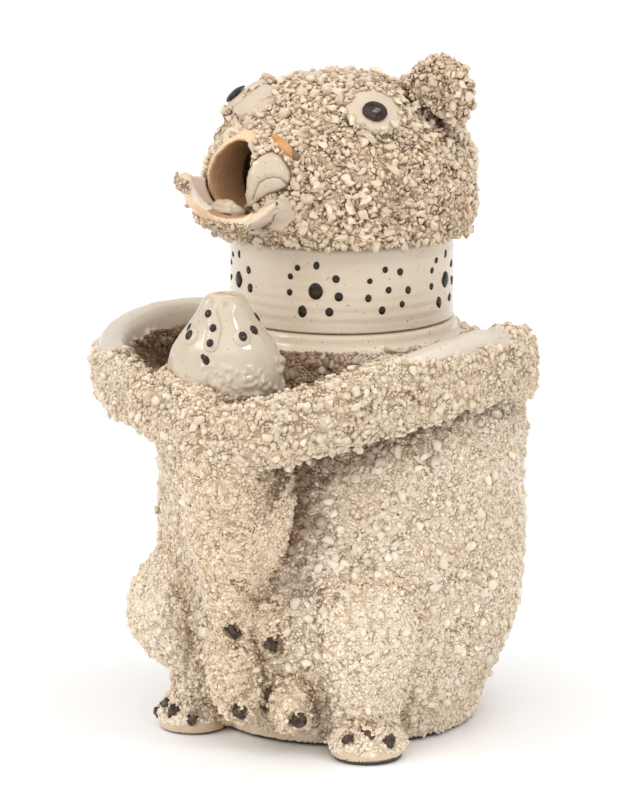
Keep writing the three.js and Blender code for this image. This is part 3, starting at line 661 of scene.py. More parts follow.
def closed_slab(outer: Rows, inner: Rows, faces: Rows) -> tuple[Rows, Rows]:
    """Close a strip of surface with a back and a wall round its edge.

    Args:
        outer: Places of the front, one row each.
        inner: The same places on the back.
        faces: Corners of the front's triangles.

    Returns:
        All places and all triangles.
    """
    count = len(outer)
    edges = faces[:, [0, 1, 1, 2, 2, 0]].reshape(-1, 2)
    _, first, times = np.unique(np.sort(edges, axis=1), axis=0, return_index=True, return_counts=True)
    rim = edges[first[times == 1]]
    walls = np.concatenate([
        np.stack([rim[:, 1], rim[:, 0], rim[:, 0] + count], axis=1),
        np.stack([rim[:, 1], rim[:, 0] + count, rim[:, 1] + count], axis=1),
    ])
    back = faces[:, ::-1] + count
    return np.concatenate([outer, inner]), np.concatenate([faces, back, walls])


def add_piece(
    mesh: Mesh, body: Body, slot: Slot, materials: Sequence[Material], nodes: Sequence[str] = ()
) -> bpy.types.Object:
    """Put a mesh into the scene as a piece of the jug.

    Args:
        mesh: The piece's mesh; its name is the piece's name.
        body: What the piece moves with.
        slot: Not used.
        materials: Its materials, in slot order.
        nodes: Solids that it stands for.

    Returns:
        The piece.
    """
    piece = placed(mesh.name, mesh)
    for material in materials:
        mesh.materials.append(material)
    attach(piece, body.value)
    if nodes:
        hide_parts(*nodes)
    LOG.info("%s: %d faces on %s", piece.name, len(mesh.polygons), body.value)
    return piece


class Frame:
    """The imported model, and finer copies of its solids."""

    sky_rays = 9
    sky_depth = 0.85
    sky_reach = 28 * MM
    patch_count = 3600
    patch_near = 6

    def __init__(self) -> None:
        """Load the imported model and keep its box."""
        self.nodes: dict[str, bpy.types.Object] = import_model()["nodes"]
        self.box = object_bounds()
        self.shells = {name: Shell.read(node.data) for name, node in self.nodes.items()}
        self.trees = {name: shell.tree() for name, shell in self.shells.items()}
        self.whole = self.joined(tuple(self.nodes)).tree()

    def joined(self, nodes: Sequence[str]) -> Shell:
        """Put the triangles of several solids together."""
        return Shell.joined([self.shells[node] for node in nodes])

    def refined(self, nodes: Sequence[str], name: str, voxel: float, rounds: int) -> Mesh:
        """Copy solids as one fine even mesh with its facets smoothed away."""
        return evened(self.joined(nodes), name, voxel, rounds)

    def around(self, points: Rows, node: str, margin: float = 0.0) -> Rows:
        """Tell which places lie in a solid's box, widened by a margin."""
        low, high = (np.array(corner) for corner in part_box(node))
        return np.all((points > low - margin) & (points < high + margin), axis=1)

    def inside(self, points: Rows, nodes: Sequence[str], depth: float) -> Rows:
        """Find the places that lie inside solids.

        Args:
            points: Places, one row each.
            nodes: The solids.
            depth: How deep a place has to lie.

        Returns:
            True for each place inside any of them.
        """
        hidden = np.zeros(len(points), dtype=bool)
        for node in nodes:
            for index in np.flatnonzero(self.around(points, node) & ~hidden):
                place = Vector(points[index])
                nearest, normal, _, _ = self.trees[node].find_nearest(place)
                hidden[index] = (place - nearest).dot(normal) < -depth
        return hidden

    def near(self, points: Rows, nodes: Sequence[str], margin: float) -> Rows:
        """Find the places inside solids or close to them.

        Args:
            points: Places, one row each.
            nodes: The solids.
            margin: How close counts.

        Returns:
            True for each place that is too close.
        """
        close = np.zeros(len(points), dtype=bool)
        for node in nodes:
            for index in np.flatnonzero(self.around(points, node, margin) & ~close):
                place = Vector(points[index])
                nearest, normal, _, distance = self.trees[node].find_nearest(place)
                close[index] = distance < margin or (place - nearest).dot(normal) < 0
        return close

    def recess(self, points: Rows, normals: Rows, start: float) -> Rows:
        """Measure how much of the open air other parts take from each place.

        Args:
            points: Places, one row each.
            normals: The way each faces.
            start: How far over each place the air is looked at.

        Returns:
            Shares from 0, open, to 1, shut in.
        """
        turn = math.pi * (3 - math.sqrt(5))
        fan = []
        for k in range(self.sky_rays):
            height = 1 - self.sky_depth * (k + 0.5) / self.sky_rays
            flat = math.sqrt(1 - height * height)
            fan.append((flat * math.cos(k * turn), flat * math.sin(k * turn), height))
        helper = np.where(np.abs(normals[:, 2:3]) < 0.9, (0, 0, 1), (1, 0, 0))
        across = unit(np.cross(helper, normals))
        frames = np.stack([across, np.cross(normals, across), normals], axis=1)
        ways = np.einsum("kj,nji->nki", np.array(fan), frames)
        starts = points + start * normals
        shut = np.zeros(len(points))
        for index, origin in enumerate(starts):
            for way in ways[index]:
                if self.whole.ray_cast(Vector(origin), Vector(way), self.sky_reach)[0] is not None:
                    shut[index] += 1
        return shut / self.sky_rays

    def recess_by_patch(self, shell: Shell, start: float) -> Rows:
        """Measure the recess of a fine surface from a few places on it.

        Args:
            shell: The surface.
            start: How far over it the air is looked at.

        Returns:
            A share for each of its points.
        """
        chosen = np.linspace(0, len(shell.points) - 1, min(self.patch_count, len(shell.points))).astype(int)
        shares = self.recess(shell.points[chosen], shell.normals[chosen], start)
        tree = nearest_tree(shell.points[chosen])
        soft = np.empty(len(shell.points))
        for row, point in enumerate(shell.points):
            found = tree.find_n(point, self.patch_near)
            weights = [1 / (MM + distance) for _, _, distance in found]
            soft[row] = sum(w * shares[k] for w, (_, k, _) in zip(weights, found)) / sum(weights)
        return soft

    def gap(self, points: Rows, node: str, reach: float) -> Rows:
        """Measure how far places are from a solid's surface, with those beyond reach endlessly far."""
        gaps = np.full(len(points), np.inf)
        for index in np.flatnonzero(self.around(points, node, reach)):
            gaps[index] = self.trees[node].find_nearest(points[index])[3]
        return gaps

    def proud(self, points: Rows, nodes: Sequence[str]) -> Rows:
        """Measure how far places stand out of solids, below zero inside."""
        tree = self.joined(nodes).tree()
        out = np.empty(len(points))
        for index, point in enumerate(points):
            place = Vector(point)
            nearest, normal, _, distance = tree.find_nearest(place)
            out[index] = math.copysign(distance, (place - nearest).dot(normal))
        return out


def roughened(shell: Shell, rule: Rule, layers: Relief, seed: int) -> Shell:
    """Push a surface's points in and out along their normals.

    Args:
        shell: The surface.
        rule: Gives each point's share of the relief.
        layers: The relief's layers of noise.
        seed: Chooses the relief.

    Returns:
        The moved surface.
    """
    relief = np.zeros(len(shell.points))
    for index, (cell, depth) in enumerate(layers):
        relief += depth * MM * grain(shell.points, cell, seed + index)
    share = rule(shell.points, shell.normals).astype(float)
    moved = shell.points + shell.normals * (relief * share)[:, None]
    moved[:, 2] = np.maximum(moved[:, 2], 0)
    return Shell(moved, shell.normals, shell.triangles)


def move_points(mesh: Mesh, points: Rows) -> None:
    """Give a mesh's points new places."""
    mesh.vertices.foreach_set("co", points.astype(np.float32).ravel())
    mesh.update()


def roughen(mesh: Mesh, rule: Rule, layers: Relief, seed: int) -> None:
    """Push a mesh's points in and out along their normals."""
    move_points(mesh, roughened(Shell.read(mesh), rule, layers, seed).points)


def paint_faces(
    mesh: Mesh, rules: Sequence[tuple[int, Rule]], points: Rows, normals: Rows
) -> None:
    """Choose each face's material number by the rule that holds at its place; later rules win."""
    index = np.zeros(len(points), dtype=np.int32)
    for number, rule in rules:
        index[rule(points, normals)] = number
    mesh.polygons.foreach_set("material_index", index)


def first_corners(mesh: Mesh) -> Rows:
    """The number of each face's first point."""
    corners = column(mesh.loops, "vertex_index", kind=np.int32)
    return corners[column(mesh.polygons, "loop_start", kind=np.int32)]


def nowhere(points: Rows, normals: Rows) -> Rows:
    """A field that is zero at every place."""
    return np.zeros(len(points))


def everywhere(points: Rows, normals: Rows) -> Rows:
    """A rule that holds at every place."""
    return np.ones(len(points), dtype=bool)


JUG_CLAWS = tuple(f"right_claw_{k}" for k in (1, 2, 3, 4)) + tuple(f"left_claw_{k}" for k in (1, 2, 3))
JUG_CLAWS += tuple(f"dog_{side}_{part}" for part in ("foreclaw", "hind_claw") for side in ("right", "left"))
PUPILS = ("right_pupil", "left_pupil")
BARE_LUMPS = JUG_CLAWS + PUPILS
CLAW_DEPTH = 0.8 * MM  # crumbs deeper in a bare lump are left out
COVER_DEPTH = 0.6 * MM  # the same for other solids


# Crumbs


@dataclass(frozen=True)
class Layer:
    """One size of crumb in the coat, in millimetres."""

    cell: float
    small: float
    large: float
    share: float
    flat: float
    tall: float
    cuts: int
    rounds: int
    chip: float = 0.5
    tilt: float = 28.0


@dataclass(frozen=True)
class Coat:
    """The crumbs on a piece, largest first: those melted into its skin and those lying loose on it."""

    melted: tuple[Layer, ...]
    loose: tuple[Layer, ...]
    crisp: bool = False
    rise: tuple[float, float] = (0.05, 0.5)


BODY_COAT = Coat(
    (
        Layer(4.6, 2.6, 4.2, 0.34, 0.5, 0.85, 3, 2, 0.6),
        Layer(2.3, 1.7, 2.7, 0.5, 0.7, 1.1, 2, 2, 0.65),
    ),
    (
        Layer(5.2, 2.6, 4.9, 0.4, 0.6, 0.9, 6, 2),
        Layer(2, 1.4, 2.3, 0.7, 0.7, 1.05, 4, 1),
        Layer(1.3, 0.95, 1.4, 0.95, 0.75, 1.1, 3, 1),
    ),
)
ARM_COAT = Coat(
    (
        Layer(4.2, 2.6, 4.3, 0.42, 0.55, 0.9, 3, 2, 0.6),
        Layer(2.4, 1.8, 2.8, 0.5, 0.75, 1.1, 2, 2, 0.65),
    ),
    (
        Layer(4.8, 2.4, 4.6, 0.4, 0.6, 0.95, 6, 2),
        Layer(2.2, 1.5, 2.6, 0.72, 0.7, 1.05, 4, 1),
        Layer(1.4, 0.95, 1.45, 0.85, 0.75, 1.1, 3, 1),
    ),
)
LIMB_COAT = Coat(
    (
        Layer(4, 2.4, 3.5, 0.3, 0.6, 0.9, 3, 2, 0.6),
        Layer(2.2, 1.7, 2.6, 0.5, 0.8, 1.1, 2, 2, 0.65),
    ),
    (
        Layer(6.5, 2.2, 3.6, 0.3, 0.65, 0.95, 6, 2),
        Layer(2, 1.4, 2.2, 0.72, 0.75, 1.05, 4, 1),
        Layer(1.3, 0.9, 1.35, 0.95, 0.8, 1.1, 3, 1),
    ),
)
HEAD_COAT = Coat(
    (
        Layer(3.4, 2.4, 3.6, 0.5, 0.6, 0.95, 8, 2, 0.45),
        Layer(2, 1.5, 2.3, 0.6, 0.7, 1.05, 7, 2, 0.45),
    ),
    (
        Layer(3.8, 2.7, 5, 0.62, 0.55, 0.9, 9, 2, 0.4),
        Layer(2.3, 1.6, 2.8, 0.95, 0.6, 1, 8, 2, 0.4),
        Layer(1.5, 0.95, 1.5, 0.75, 0.7, 1.1, 5, 1, 0.45),
    ),
    True,
    (0.25, 0.75),
)
PEBBLES = Layer(4.2, 2.6, 4.4, 0.55, 0.6, 0.9, 7, 2)
RUFF = (
    Layer(3.6, 2, 3.2, 0.5, 0.4, 0.7, 2, 2, 0.7),
    Layer(2, 1.2, 2, 0.6, 0.5, 0.8, 2, 2, 0.7),
)
SHAPES_PER_LAYER = 9
TRIES_PER_CELL = 7
CROWDING = 0.62  # a smaller crumb keeps this share of a larger one's radius away
CLUSTER = 13  # size of the patches where crumbs lie closer


def lump(layer: Layer, rng: np.random.Generator) -> tuple[Rows, Rows]:
    """Make one crumb's shape: a ball with flat chips taken off.

    Args:
        layer: Gives its fineness, and how many chips are taken and how near the middle.
        rng: Source of chance.

    Returns:
        Points of a lump about one across its radius, and its triangles.
    """
    points, triangles = ball(layer.rounds)
    for _ in range(layer.cuts):
        way = unit(rng.normal(size=3))
        over = points @ way - rng.uniform(layer.chip, layer.chip + 0.35)
        points = points - np.maximum(over, 0)[:, None] * way
    points += rng.normal(scale=0.05, size=points.shape)
    return points / np.abs(points).max(), triangles


def turned(points: Rows, axes: Rows, angles: Rows) -> Rows:
    """Turn each row's cloud of points about its own axis of length one, by its own angle in radians."""
    axis = axes[:, None, :]
    cos, sin = np.cos(angles)[:, None, None], np.sin(angles)[:, None, None]
    along = (points * axis).sum(axis=2, keepdims=True)
    return points * cos + np.cross(np.broadcast_to(axis, points.shape), points) * sin + axis * along * (1 - cos)


@dataclass(frozen=True)
class Batch:
    """Crumbs of one shape, with a row for each."""

    cloud: Rows
    faces: Rows
    lift: Rows
    tone: Rows
    seats: tuple[Rows, Rows]
    flat: Rows


def stacked(group: Sequence[Batch]) -> tuple[Rows, Rows]:
    """Put the points and triangles of several batches of crumbs together."""
    points, triangles, start = [np.empty((0, 3))], [np.empty((0, 3), dtype=np.int64)], 0
    for batch in group:
        rows, each = batch.cloud.shape[:2]
        offsets = start + each * np.arange(rows)
        points.append(batch.cloud.reshape(-1, 3))
        triangles.append((batch.faces + offsets[:, None, None]).reshape(-1, 3))
        start += rows * each
    return np.concatenate(points), np.concatenate(triangles)


@dataclass
class CrumbBed:
    """Scatters crumbs over a surface and joins them into pieces."""

    frame: Frame
    shell: Shell
    keep: Rule
    seed: int
    # adds painted shade, with some brown stain, to the recess that darkens the crumbs
    stain_and_shade: Field = nowhere
    crisp: bool = False
    rise: tuple[float, float] = (0.25, 0.75)
    start: float = AIR_START

    def __post_init__(self) -> None:
        """Start with no crumbs."""
        self.rng = np.random.default_rng(self.seed)
        self.batches: list[Batch] = []
        self.taken: list[tuple[Rows, Rows]] = []

    def free_of_larger(self, points: Rows) -> Rows:
        """Tell which places are not already under a larger crumb."""
        free = np.ones(len(points), dtype=bool)
        for places, radii in self.taken:
            tree = nearest_tree(places)
            for index in np.flatnonzero(free):
                _, nearest, distance = tree.find(points[index])
                free[index] = distance > CROWDING * radii[nearest]
        return free

    def scatter(self, *layers: Layer) -> None:
        """Lay crumbs.

        Args:
            *layers: Their sizes and spacing, largest first.
        """
        for layer in layers:
            cell = layer.cell * MM
            tries = int(TRIES_PER_CELL * self.shell.area() / cell**2)
            points, normals = self.shell.sample(tries, self.rng)
            kept = self.keep(points, normals)
            points, normals = points[kept], normals[kept]
            if len(points) == 0:
                continue
            _, first = np.unique(np.floor(points / cell).astype(np.int64), axis=0, return_index=True)
            crowd = (1 + 0.3 * grain(points[first], CLUSTER, self.seed)).clip(0.6, 1.1)
            first = first[self.rng.random(len(first)) < layer.share * crowd]
            points, normals = points[first], normals[first]
            free = self.free_of_larger(points)
            if free.any():
                self.place(layer, points[free], normals[free])

    def place(self, layer: Layer, points: Rows, normals: Rows) -> None:
        """Build the crumbs of one layer at their places.

        Args:
            layer: Their sizes.
            points: Where they lie.
            normals: The way each stands.
        """
        count, rng = len(points), self.rng
        mix = rng.random(count) ** 1.6
        radius = (layer.small + (layer.large - layer.small) * mix) * MM / 2
        long = radius * rng.uniform(1, 1.35, count)
        wide = radius * rng.uniform(0.75, 1, count)
        tall = radius * rng.uniform(layer.flat, layer.tall, count)
        sizes = np.stack([long, wide, tall], axis=1)
        across = unit(np.cross(normals, rng.normal(size=(count, 3))))
        frames = np.stack([across, np.cross(normals, across), normals], axis=2)
        tilt_axis = unit(np.concatenate([rng.normal(size=(count, 2)), np.zeros((count, 1))], axis=1))
        tilt = np.radians(layer.tilt) * rng.normal(size=count).clip(-1.6, 1.6)
        rise = tall * rng.uniform(*self.rise, count)
        tone = rng.normal(0.5, 0.2, count).clip(0, 1)
        chosen = rng.integers(0, SHAPES_PER_LAYER, count)
        self.taken.append((points, radius))
        for shape in range(SHAPES_PER_LAYER):
            cloud, faces = lump(layer, rng)
            rows = np.flatnonzero(chosen == shape)
            if len(rows) == 0:
                continue
            local = turned(cloud[None] * sizes[rows][:, None, :], tilt_axis[rows], tilt[rows])
            local[:, :, 2] += rise[rows][:, None]
            world = points[rows][:, None, :] + np.einsum("nij,nkj->nki", frames[rows], local)
            world[:, :, 2] = np.maximum(world[:, :, 2], GROUND)
            polar = np.arccos(np.clip(unit(cloud)[:, 2], -1, 1)) / math.pi
            round_way = np.arctan2(cloud[:, 1], cloud[:, 0])
            flat = 0.5 + CRUMB_FILL * polar[:, None] * np.stack([np.cos(round_way), np.sin(round_way)], axis=1)
            # the lift paints shade low on each crumb
            self.batches.append(Batch(
                world.astype(np.float32),
                np.broadcast_to(faces, (len(rows),) + faces.shape),
                (LOOSE_LIFT + local[:, :, 2] / LIFT_SPAN).clip(0, 1),
                np.broadcast_to(tone[rows][:, None], local.shape[:2]),
                (points[rows], normals[rows]),
                np.broadcast_to(flat[None], (len(rows),) + flat.shape),
            ))

    def whole(self) -> Shell:
        """All the crumbs as one set of triangles."""
        points, triangles = stacked(self.batches)
        return Shell(points, np.zeros_like(points), triangles)

    def pieces(self, name: str, body: Body, material: Material) -> None:
        """Join the crumbs into pieces of a fair size.

        Args:
            name: Start of the pieces' names.
            body: What they move with.
            material: Their finish.
        """
        number, group, load = 1, [], 0
        for batch in self.batches:
            faces = batch.faces.shape[0] * batch.faces.shape[1]
            if group and load + faces > PIECE_FACES:
                self.join(f"{name}_{number}", group, body, material)
                number, group, load = number + 1, [], 0
            group.append(batch)
            load += faces
        if group:
            self.join(f"{name}_{number}", group, body, material)

    def join(self, name: str, group: Sequence[Batch], body: Body, material: Material) -> None:
        """Make one piece of several batches of crumbs.

        Args:
            name: The piece's name.
            group: The batches.
            body: What it moves with.
            material: Its finish.
        """
        side = math.ceil(math.sqrt(sum(len(batch.cloud) for batch in group)))
        depths, flats, crumb = [], [], 0
        for batch in group:
            rows, each = batch.cloud.shape[:2]
            # painted shade: how shut in each crumb is, with the painted shade and stain field added, darkens it
            recess = self.frame.recess(*batch.seats, self.start) + self.stain_and_shade(*batch.seats)
            depths.append(np.repeat(recess, each))
            numbers = crumb + np.arange(rows)
            corner = np.stack([numbers % side, numbers // side], axis=1)[:, None, :]
            flats.append(((batch.flat + corner) / side).reshape(-1, 2))
            crumb += rows
        points, faces = stacked(group)
        mesh = mesh_of(name, points, faces)
        if self.crisp:
            mesh.shade_flat()
        set_values(mesh, "lift", np.concatenate([batch.lift.ravel() for batch in group]))
        set_values(mesh, "tone", np.concatenate([batch.tone.ravel() for batch in group]))
        set_values(mesh, "recess", np.concatenate(depths))
        layer = mesh.uv_layers.new(name=BAKE_MAP)
        layer.data.foreach_set("uv", np.concatenate(flats)[faces.ravel()].astype(np.float32).ravel())
        add_piece(mesh, body, Slot.CRUMB, [material])


@dataclass
class Furry:
    """A piece with a coat of crumbs, some melted into its skin and some loose on it."""

    frame: Frame
    node: str
    body: Body
    coat: Coat
    crumbs: Material
    seed: int
    voxel: float = 0.9 * MM
    rounds: int = 8
    fine: float = 0.55 * MM
    melt: int = 2
    keep: Rule = everywhere
    others: tuple[tuple[Material, Rule], ...] = ()
    hidden_by: tuple[str, ...] = ()
    # adds painted shade, with some brown stain, to the recess that darkens the coat
    stain_and_shade: Field = nowhere
    base: Shell | None = None
    nodes: tuple[str, ...] = ()
    inset: float = 0.0
    bend: Callable[[Rows], Rows] | None = None
    tone_cells: tuple[float, float] = (2.1, 7.0)
    relief: Relief = ((9, 0.5), (3.4, 0.3))

    def build(self) -> Shell:
        """Make the coat and the loose crumbs on it, and give the coat's surface."""
        smooth = self.plain() if self.base is None else self.base
        solids = (self.nodes or (self.node,)) if self.base is None else ()
        bed = CrumbBed(self.frame, smooth, self.clear, self.seed)
        bed.scatter(*self.coat.melted)
        rough = roughened(smooth, self.keep, self.relief, self.seed)
        mesh = evened(Shell.joined([rough, bed.whole()]), f"{self.node}_coat", self.fine, self.melt)
        self.dress(mesh, smooth)
        materials = [self.crumbs] + [material for material, _ in self.others]
        add_piece(mesh, self.body, Slot.CRUMB, materials, solids)
        loose = CrumbBed(
            self.frame, Shell.read(mesh), self.clear, self.seed + LOOSE_SEED, self.stain_and_shade,
            self.coat.crisp, self.coat.rise, AIR_START + self.inset,
        )
        loose.scatter(*self.coat.loose)
        loose.pieces(f"{self.node}_crumbs", self.body, self.crumbs)
        return loose.shell

    def plain(self) -> Shell:
        """The solids' own surface with its facets smoothed away, sunk a little under the coat."""
        solids = self.nodes or (self.node,)
        shell = Shell.taken(self.frame.refined(solids, f"{self.node}_plain", self.voxel, self.rounds))
        sunk = self.inset * self.keep(shell.points, shell.normals).astype(float)
        points = shell.points - sunk[:, None] * shell.normals
        return Shell(points if self.bend is None else self.bend(points), shell.normals, shell.triangles)

    def dress(self, mesh: Mesh, smooth: Shell) -> None:
        """Colour the coat by its height, its tone and how shut in it is; the height and the recess paint shade.

        Args:
            mesh: The coat.
            smooth: The plain surface under it.
        """
        points = Shell.read(mesh).points
        points[:, 2] = np.maximum(points[:, 2], 0)
        move_points(mesh, points)
        seats, ways, heights = seated(points, smooth)
        first = first_corners(mesh)
        paint_faces(mesh, [(k + 1, rule) for k, (_, rule) in enumerate(self.others)], seats[first], ways[first])
        fine, broad = (grain(points, cell, self.seed) for cell in self.tone_cells)
        set_values(mesh, "tone", 0.5 + 0.2 * fine + 0.2 * broad)
        # painted shade: the coat darkens low down between the melted crumbs
        set_values(mesh, "lift", (MELTED_LIFT + heights / LIFT_SPAN).clip(0, 1))
        seat = Shell(seats, ways, smooth.triangles)
        # painted shade: places shut in by other parts darken, with the painted shade and stain field added
        air = self.frame.recess_by_patch(seat, AIR_START + self.inset)
        set_values(mesh, "recess", air + self.stain_and_shade(seats, ways))
        cell_map(mesh)

    def clear(self, points: Rows, normals: Rows) -> Rows:
        """Tell where crumbs may lie, away from what other pieces cover."""
        kept = self.keep(points, normals)
        index = np.flatnonzero(kept)
        hidden = self.frame.inside(points[index], self.hidden_by, COVER_DEPTH)
        hidden |= self.frame.inside(points[index], BARE_LUMPS, CLAW_DEPTH)
        kept[index[hidden]] = False
        return kept


# The jug's parts


def pot_shade_and_stain(points: Rows, normals: Rows) -> Rows:
    """How much painted shade, with some brown stain, lies behind the arms, under the left one and beside the dog."""
    height, bearing = points[:, 2] / MM, bearing_of(points)
    high = np.interp(height, (121, 131, 147), (0, 1, 0.7))
    high *= np.interp(bearing, (-120, -60, 30, 50, 110), (0.2, 1, 1, 0.3, 0.2))
    under = np.interp(height, (97, 116, 126), (0, 1, 0))
    under *= np.interp(bearing, (8, 20, 60, 85), (0, 1, 0.7, 0.2))
    groove = np.interp(np.abs(bearing - 21), (2, 15), (1, 0))
    groove *= np.interp(height, (38, 84, 110, 118), (0, 1, 1, 0))
    beside = np.interp(np.abs(bearing - 28), (6, 26), (1, 0))
    beside *= np.interp(height, (30, 60, 118), (0, 1, 0.8))
    drift = 0.1 * grain(points, 9, 16)
    return 0.5 * high + np.maximum(0.45 * under, 0.36 * groove) + (0.16 + drift) * beside


def coat_foot(points: Rows) -> Rows:
    """How high the pot's coat starts: higher in front, between the paws."""
    edge = np.interp(bearing_of(points), (-40, -24, 16, 34), (1.6, 5.2, 4.8, 1.6))
    return (edge + 0.9 * grain(points, 6, 15)) * MM


@dataclass
class Pot:
    """The thrown pot: furry outside, plain neck and foot, brown inside."""

    frame: Frame
    palette: Palette
    coat_top: float = 145.6 * MM
    foot_rim: float = 1.3 * MM
    lining_radius: float = 60.9 * MM
    lining_top: float = 150.0 * MM
    pebble_bearing: float = 32.0
    pebble_height: float = 84.0
    shoulder: float = 119.0

    def furry(self, points: Rows, normals: Rows) -> Rows:
        """Tell where the pot's crumbs lie."""
        edge = self.coat_top + 0.8 * MM * grain(points, 9, 5)
        outside = (outwardness(points, normals) > 0.12) | ((normals[:, 2] > 0.2) & (radius_of(points) > 45 * MM))
        return outside & (points[:, 2] < edge) & (points[:, 2] > coat_foot(points))

    def plain(self, points: Rows, normals: Rows) -> Rows:
        """Tell where the pot is bare glaze: its neck, rim and inside."""
        return (points[:, 2] > self.coat_top) | (outwardness(points, normals) < -0.05)

    def lining(self, points: Rows, normals: Rows) -> Rows:
        """Tell where the pot's inside is."""
        inner = (outwardness(points, normals) < 0.1) & (radius_of(points) < self.lining_radius)
        return inner & (points[:, 2] > 4 * MM) & (points[:, 2] < self.lining_top)

    def bare_foot(self, points: Rows, normals: Rows) -> Rows:
        """Tell where the pot's outside is smooth, below its coat."""
        return (points[:, 2] < coat_foot(points)) & (outwardness(points, normals) > 0.12)

    def foot(self, points: Rows, normals: Rows) -> Rows:
        """Tell where the pot stands: its underside and a thin band along its bottom, painted dark as contact shadow.
        """
        return (points[:, 2] < self.foot_rim) | ((normals[:, 2] < -0.8) & (points[:, 2] < 2 * MM))

    def pebbled(self, points: Rows, normals: Rows) -> Rows:
        """Tell where larger crumbs lie: on the shoulder and beside the dog."""
        height, bearing = points[:, 2] / MM, bearing_of(points)
        belly = (np.abs(bearing - self.pebble_bearing) < 17) & (np.abs(height - self.pebble_height) < 32)
        return (height > self.shoulder) | (belly & (grain(points, 11, 14) > 0.1))

    def build(self) -> None:
        """Dress the pot."""
        palette = self.palette
        others = ((palette.glaze, self.plain), (palette.wash_and_shade, self.lining), (palette.rim, self.bare_foot))
        # the bottom band takes painted contact shadow
        others += ((palette.foot, self.foot),)
        hidden = ("left_arm", "right_arm", "dog_torso", "dog_head", "left_hind_leg", "right_hind_leg")
        hidden += ("left_hind_paw", "right_hind_paw", "dog_right_hind_leg", "dog_left_hind_leg")
        coat = Furry(
            self.frame, "jug_body", Body.JUG, BODY_COAT, palette.body, 11,
            voxel=1.3 * MM, rounds=6, fine=0.7 * MM, melt=1, keep=self.furry, others=others, hidden_by=hidden,
            stain_and_shade=pot_shade_and_stain,
        )
        shell = coat.build()
        bed = CrumbBed(self.frame, shell, lambda p, n: self.pebbled(p, n) & coat.clear(p, n), 13, pot_shade_and_stain)
        bed.scatter(PEBBLES)
        bed.pieces("jug_body_pebbles", Body.JUG, palette.body)


@dataclass
class Arms:
    """The two straps that hug the dog, bare along their far upper edges."""

    frame: Frame
    palette: Palette
    right_mid: Pairs = (
        (-125, 133.5), (-104, 135), (-85, 135.5), (-66, 134.5),
        (-46, 134.5), (-28, 134), (-12, 131.5), (8, 125.5),
    )
    left_mid: Pairs = (
        (12.5, 125), (24, 127.8), (38, 133.5), (57, 138.1), (80, 142.5), (104, 137.5), (121, 133),
    )

    def above(self, points: Rows, middle: Pairs) -> Rows:
        """Height of each place over the strap's own middle line, in millimetres."""
        bearings, heights = zip(*middle)
        return points[:, 2] / MM - np.interp(bearing_of(points), bearings, heights)

    def right_bare(self, points: Rows, normals: Rows) -> Rows:
        """Tell where the right arm is smooth glaze."""
        bearing = bearing_of(points)
        edge = np.interp(bearing, (-80, -58, -34, -24), (4.5, 5.5, 9, 16))
        edge = edge - np.where(outwardness(points, normals) < -0.3, 1, 0)
        edge = edge + 1.2 * grain(points, 7, 21)
        return (self.above(points, self.right_mid) > edge) & (bearing < 0)

    def left_bare(self, points: Rows, normals: Rows) -> Rows:
        """Tell where the left arm is smooth glaze."""
        bearing = bearing_of(points)
        edge = np.interp(bearing, (44, 54, 66, 88, 95), (16, 11, 8.5, 7.5, 16))
        edge = edge + grain(points, 6, 22)
        return (self.above(points, self.left_mid) > edge) & (bearing > 0)

    def bare(self, points: Rows, normals: Rows) -> Rows:
        """Tell where either arm is smooth glaze."""
        return self.right_bare(points, normals) | self.left_bare(points, normals)

    def furry(self, points: Rows, normals: Rows) -> Rows:
        """Tell where the arms' crumbs lie."""
        return ~self.bare(points, normals)

    def shade_and_stain(self, points: Rows, normals: Rows) -> Rows:
        """How much painted shade lies on the straps' inner faces."""
        return np.interp(outwardness(points, normals), (-0.5, 0), (0.55, 0))

    def build(self) -> None:
        """Dress both arms."""
        palette = self.palette
        Furry(
            self.frame, "arms", Body.JUG, ARM_COAT, palette.arm, 31, voxel=0.8 * MM, rounds=10, melt=1,
            keep=self.furry, others=((palette.strap_glaze, self.bare),), hidden_by=("dog_torso", "dog_head"),
            stain_and_shade=self.shade_and_stain, nodes=("left_arm", "right_arm"),
        ).build()


@dataclass
class Limbs:
    """The bear's hind legs and paws, and the dog's torso and legs."""

    frame: Frame
    palette: Palette
    paw_edge: float = 4.6 * MM
    right_sole: float = 0.6 * MM
    left_sole: float = 1.7 * MM

    def paw_top(self, points: Rows, normals: Rows) -> Rows:
        """Tell where a paw carries crumbs, above its smooth edge."""
        edge = self.paw_edge + 1.4 * MM * grain(points, 6, 41)
        return points[:, 2] > edge

    def right_under(self, points: Rows, normals: Rows) -> Rows:
        """Tell where the right paw meets the ground, where it is painted dark as contact shadow."""
        return points[:, 2] < self.right_sole

    def left_under(self, points: Rows, normals: Rows) -> Rows:
        """Tell where the left paw meets the ground, where it is painted dark as contact shadow."""
        return points[:, 2] < self.left_sole

    def build(self) -> None:
        """Dress the legs, the paws and the dog's body."""
        palette = self.palette
        legs = ["right_hind_leg", "left_hind_leg", "dog_torso"]
        legs += [f"dog_{side}_{part}" for side in ("right", "left") for part in ("foreleg", "hind_leg")]
        for seed, node in enumerate(legs, 51):
            hidden = tuple(other for other in legs + ["jug_body", "left_arm", "right_arm"] if other != node)
            look = palette.limb if node.startswith("dog") else palette.leg
            Furry(
                self.frame, node, Body.JUG, LIMB_COAT, look, seed, voxel=0.8 * MM, melt=1, hidden_by=hidden
            ).build()
        # the soles take painted contact shadow
        for node, under, seed in (("right_hind_paw", self.right_under, 71), ("left_hind_paw", self.left_under, 72)):
            Furry(
                self.frame, node, Body.JUG, LIMB_COAT, palette.leg, seed, voxel=0.7 * MM, keep=self.paw_top,
                others=((palette.foot, under),), hidden_by=("jug_body", node.replace("paw", "leg")),
            ).build()


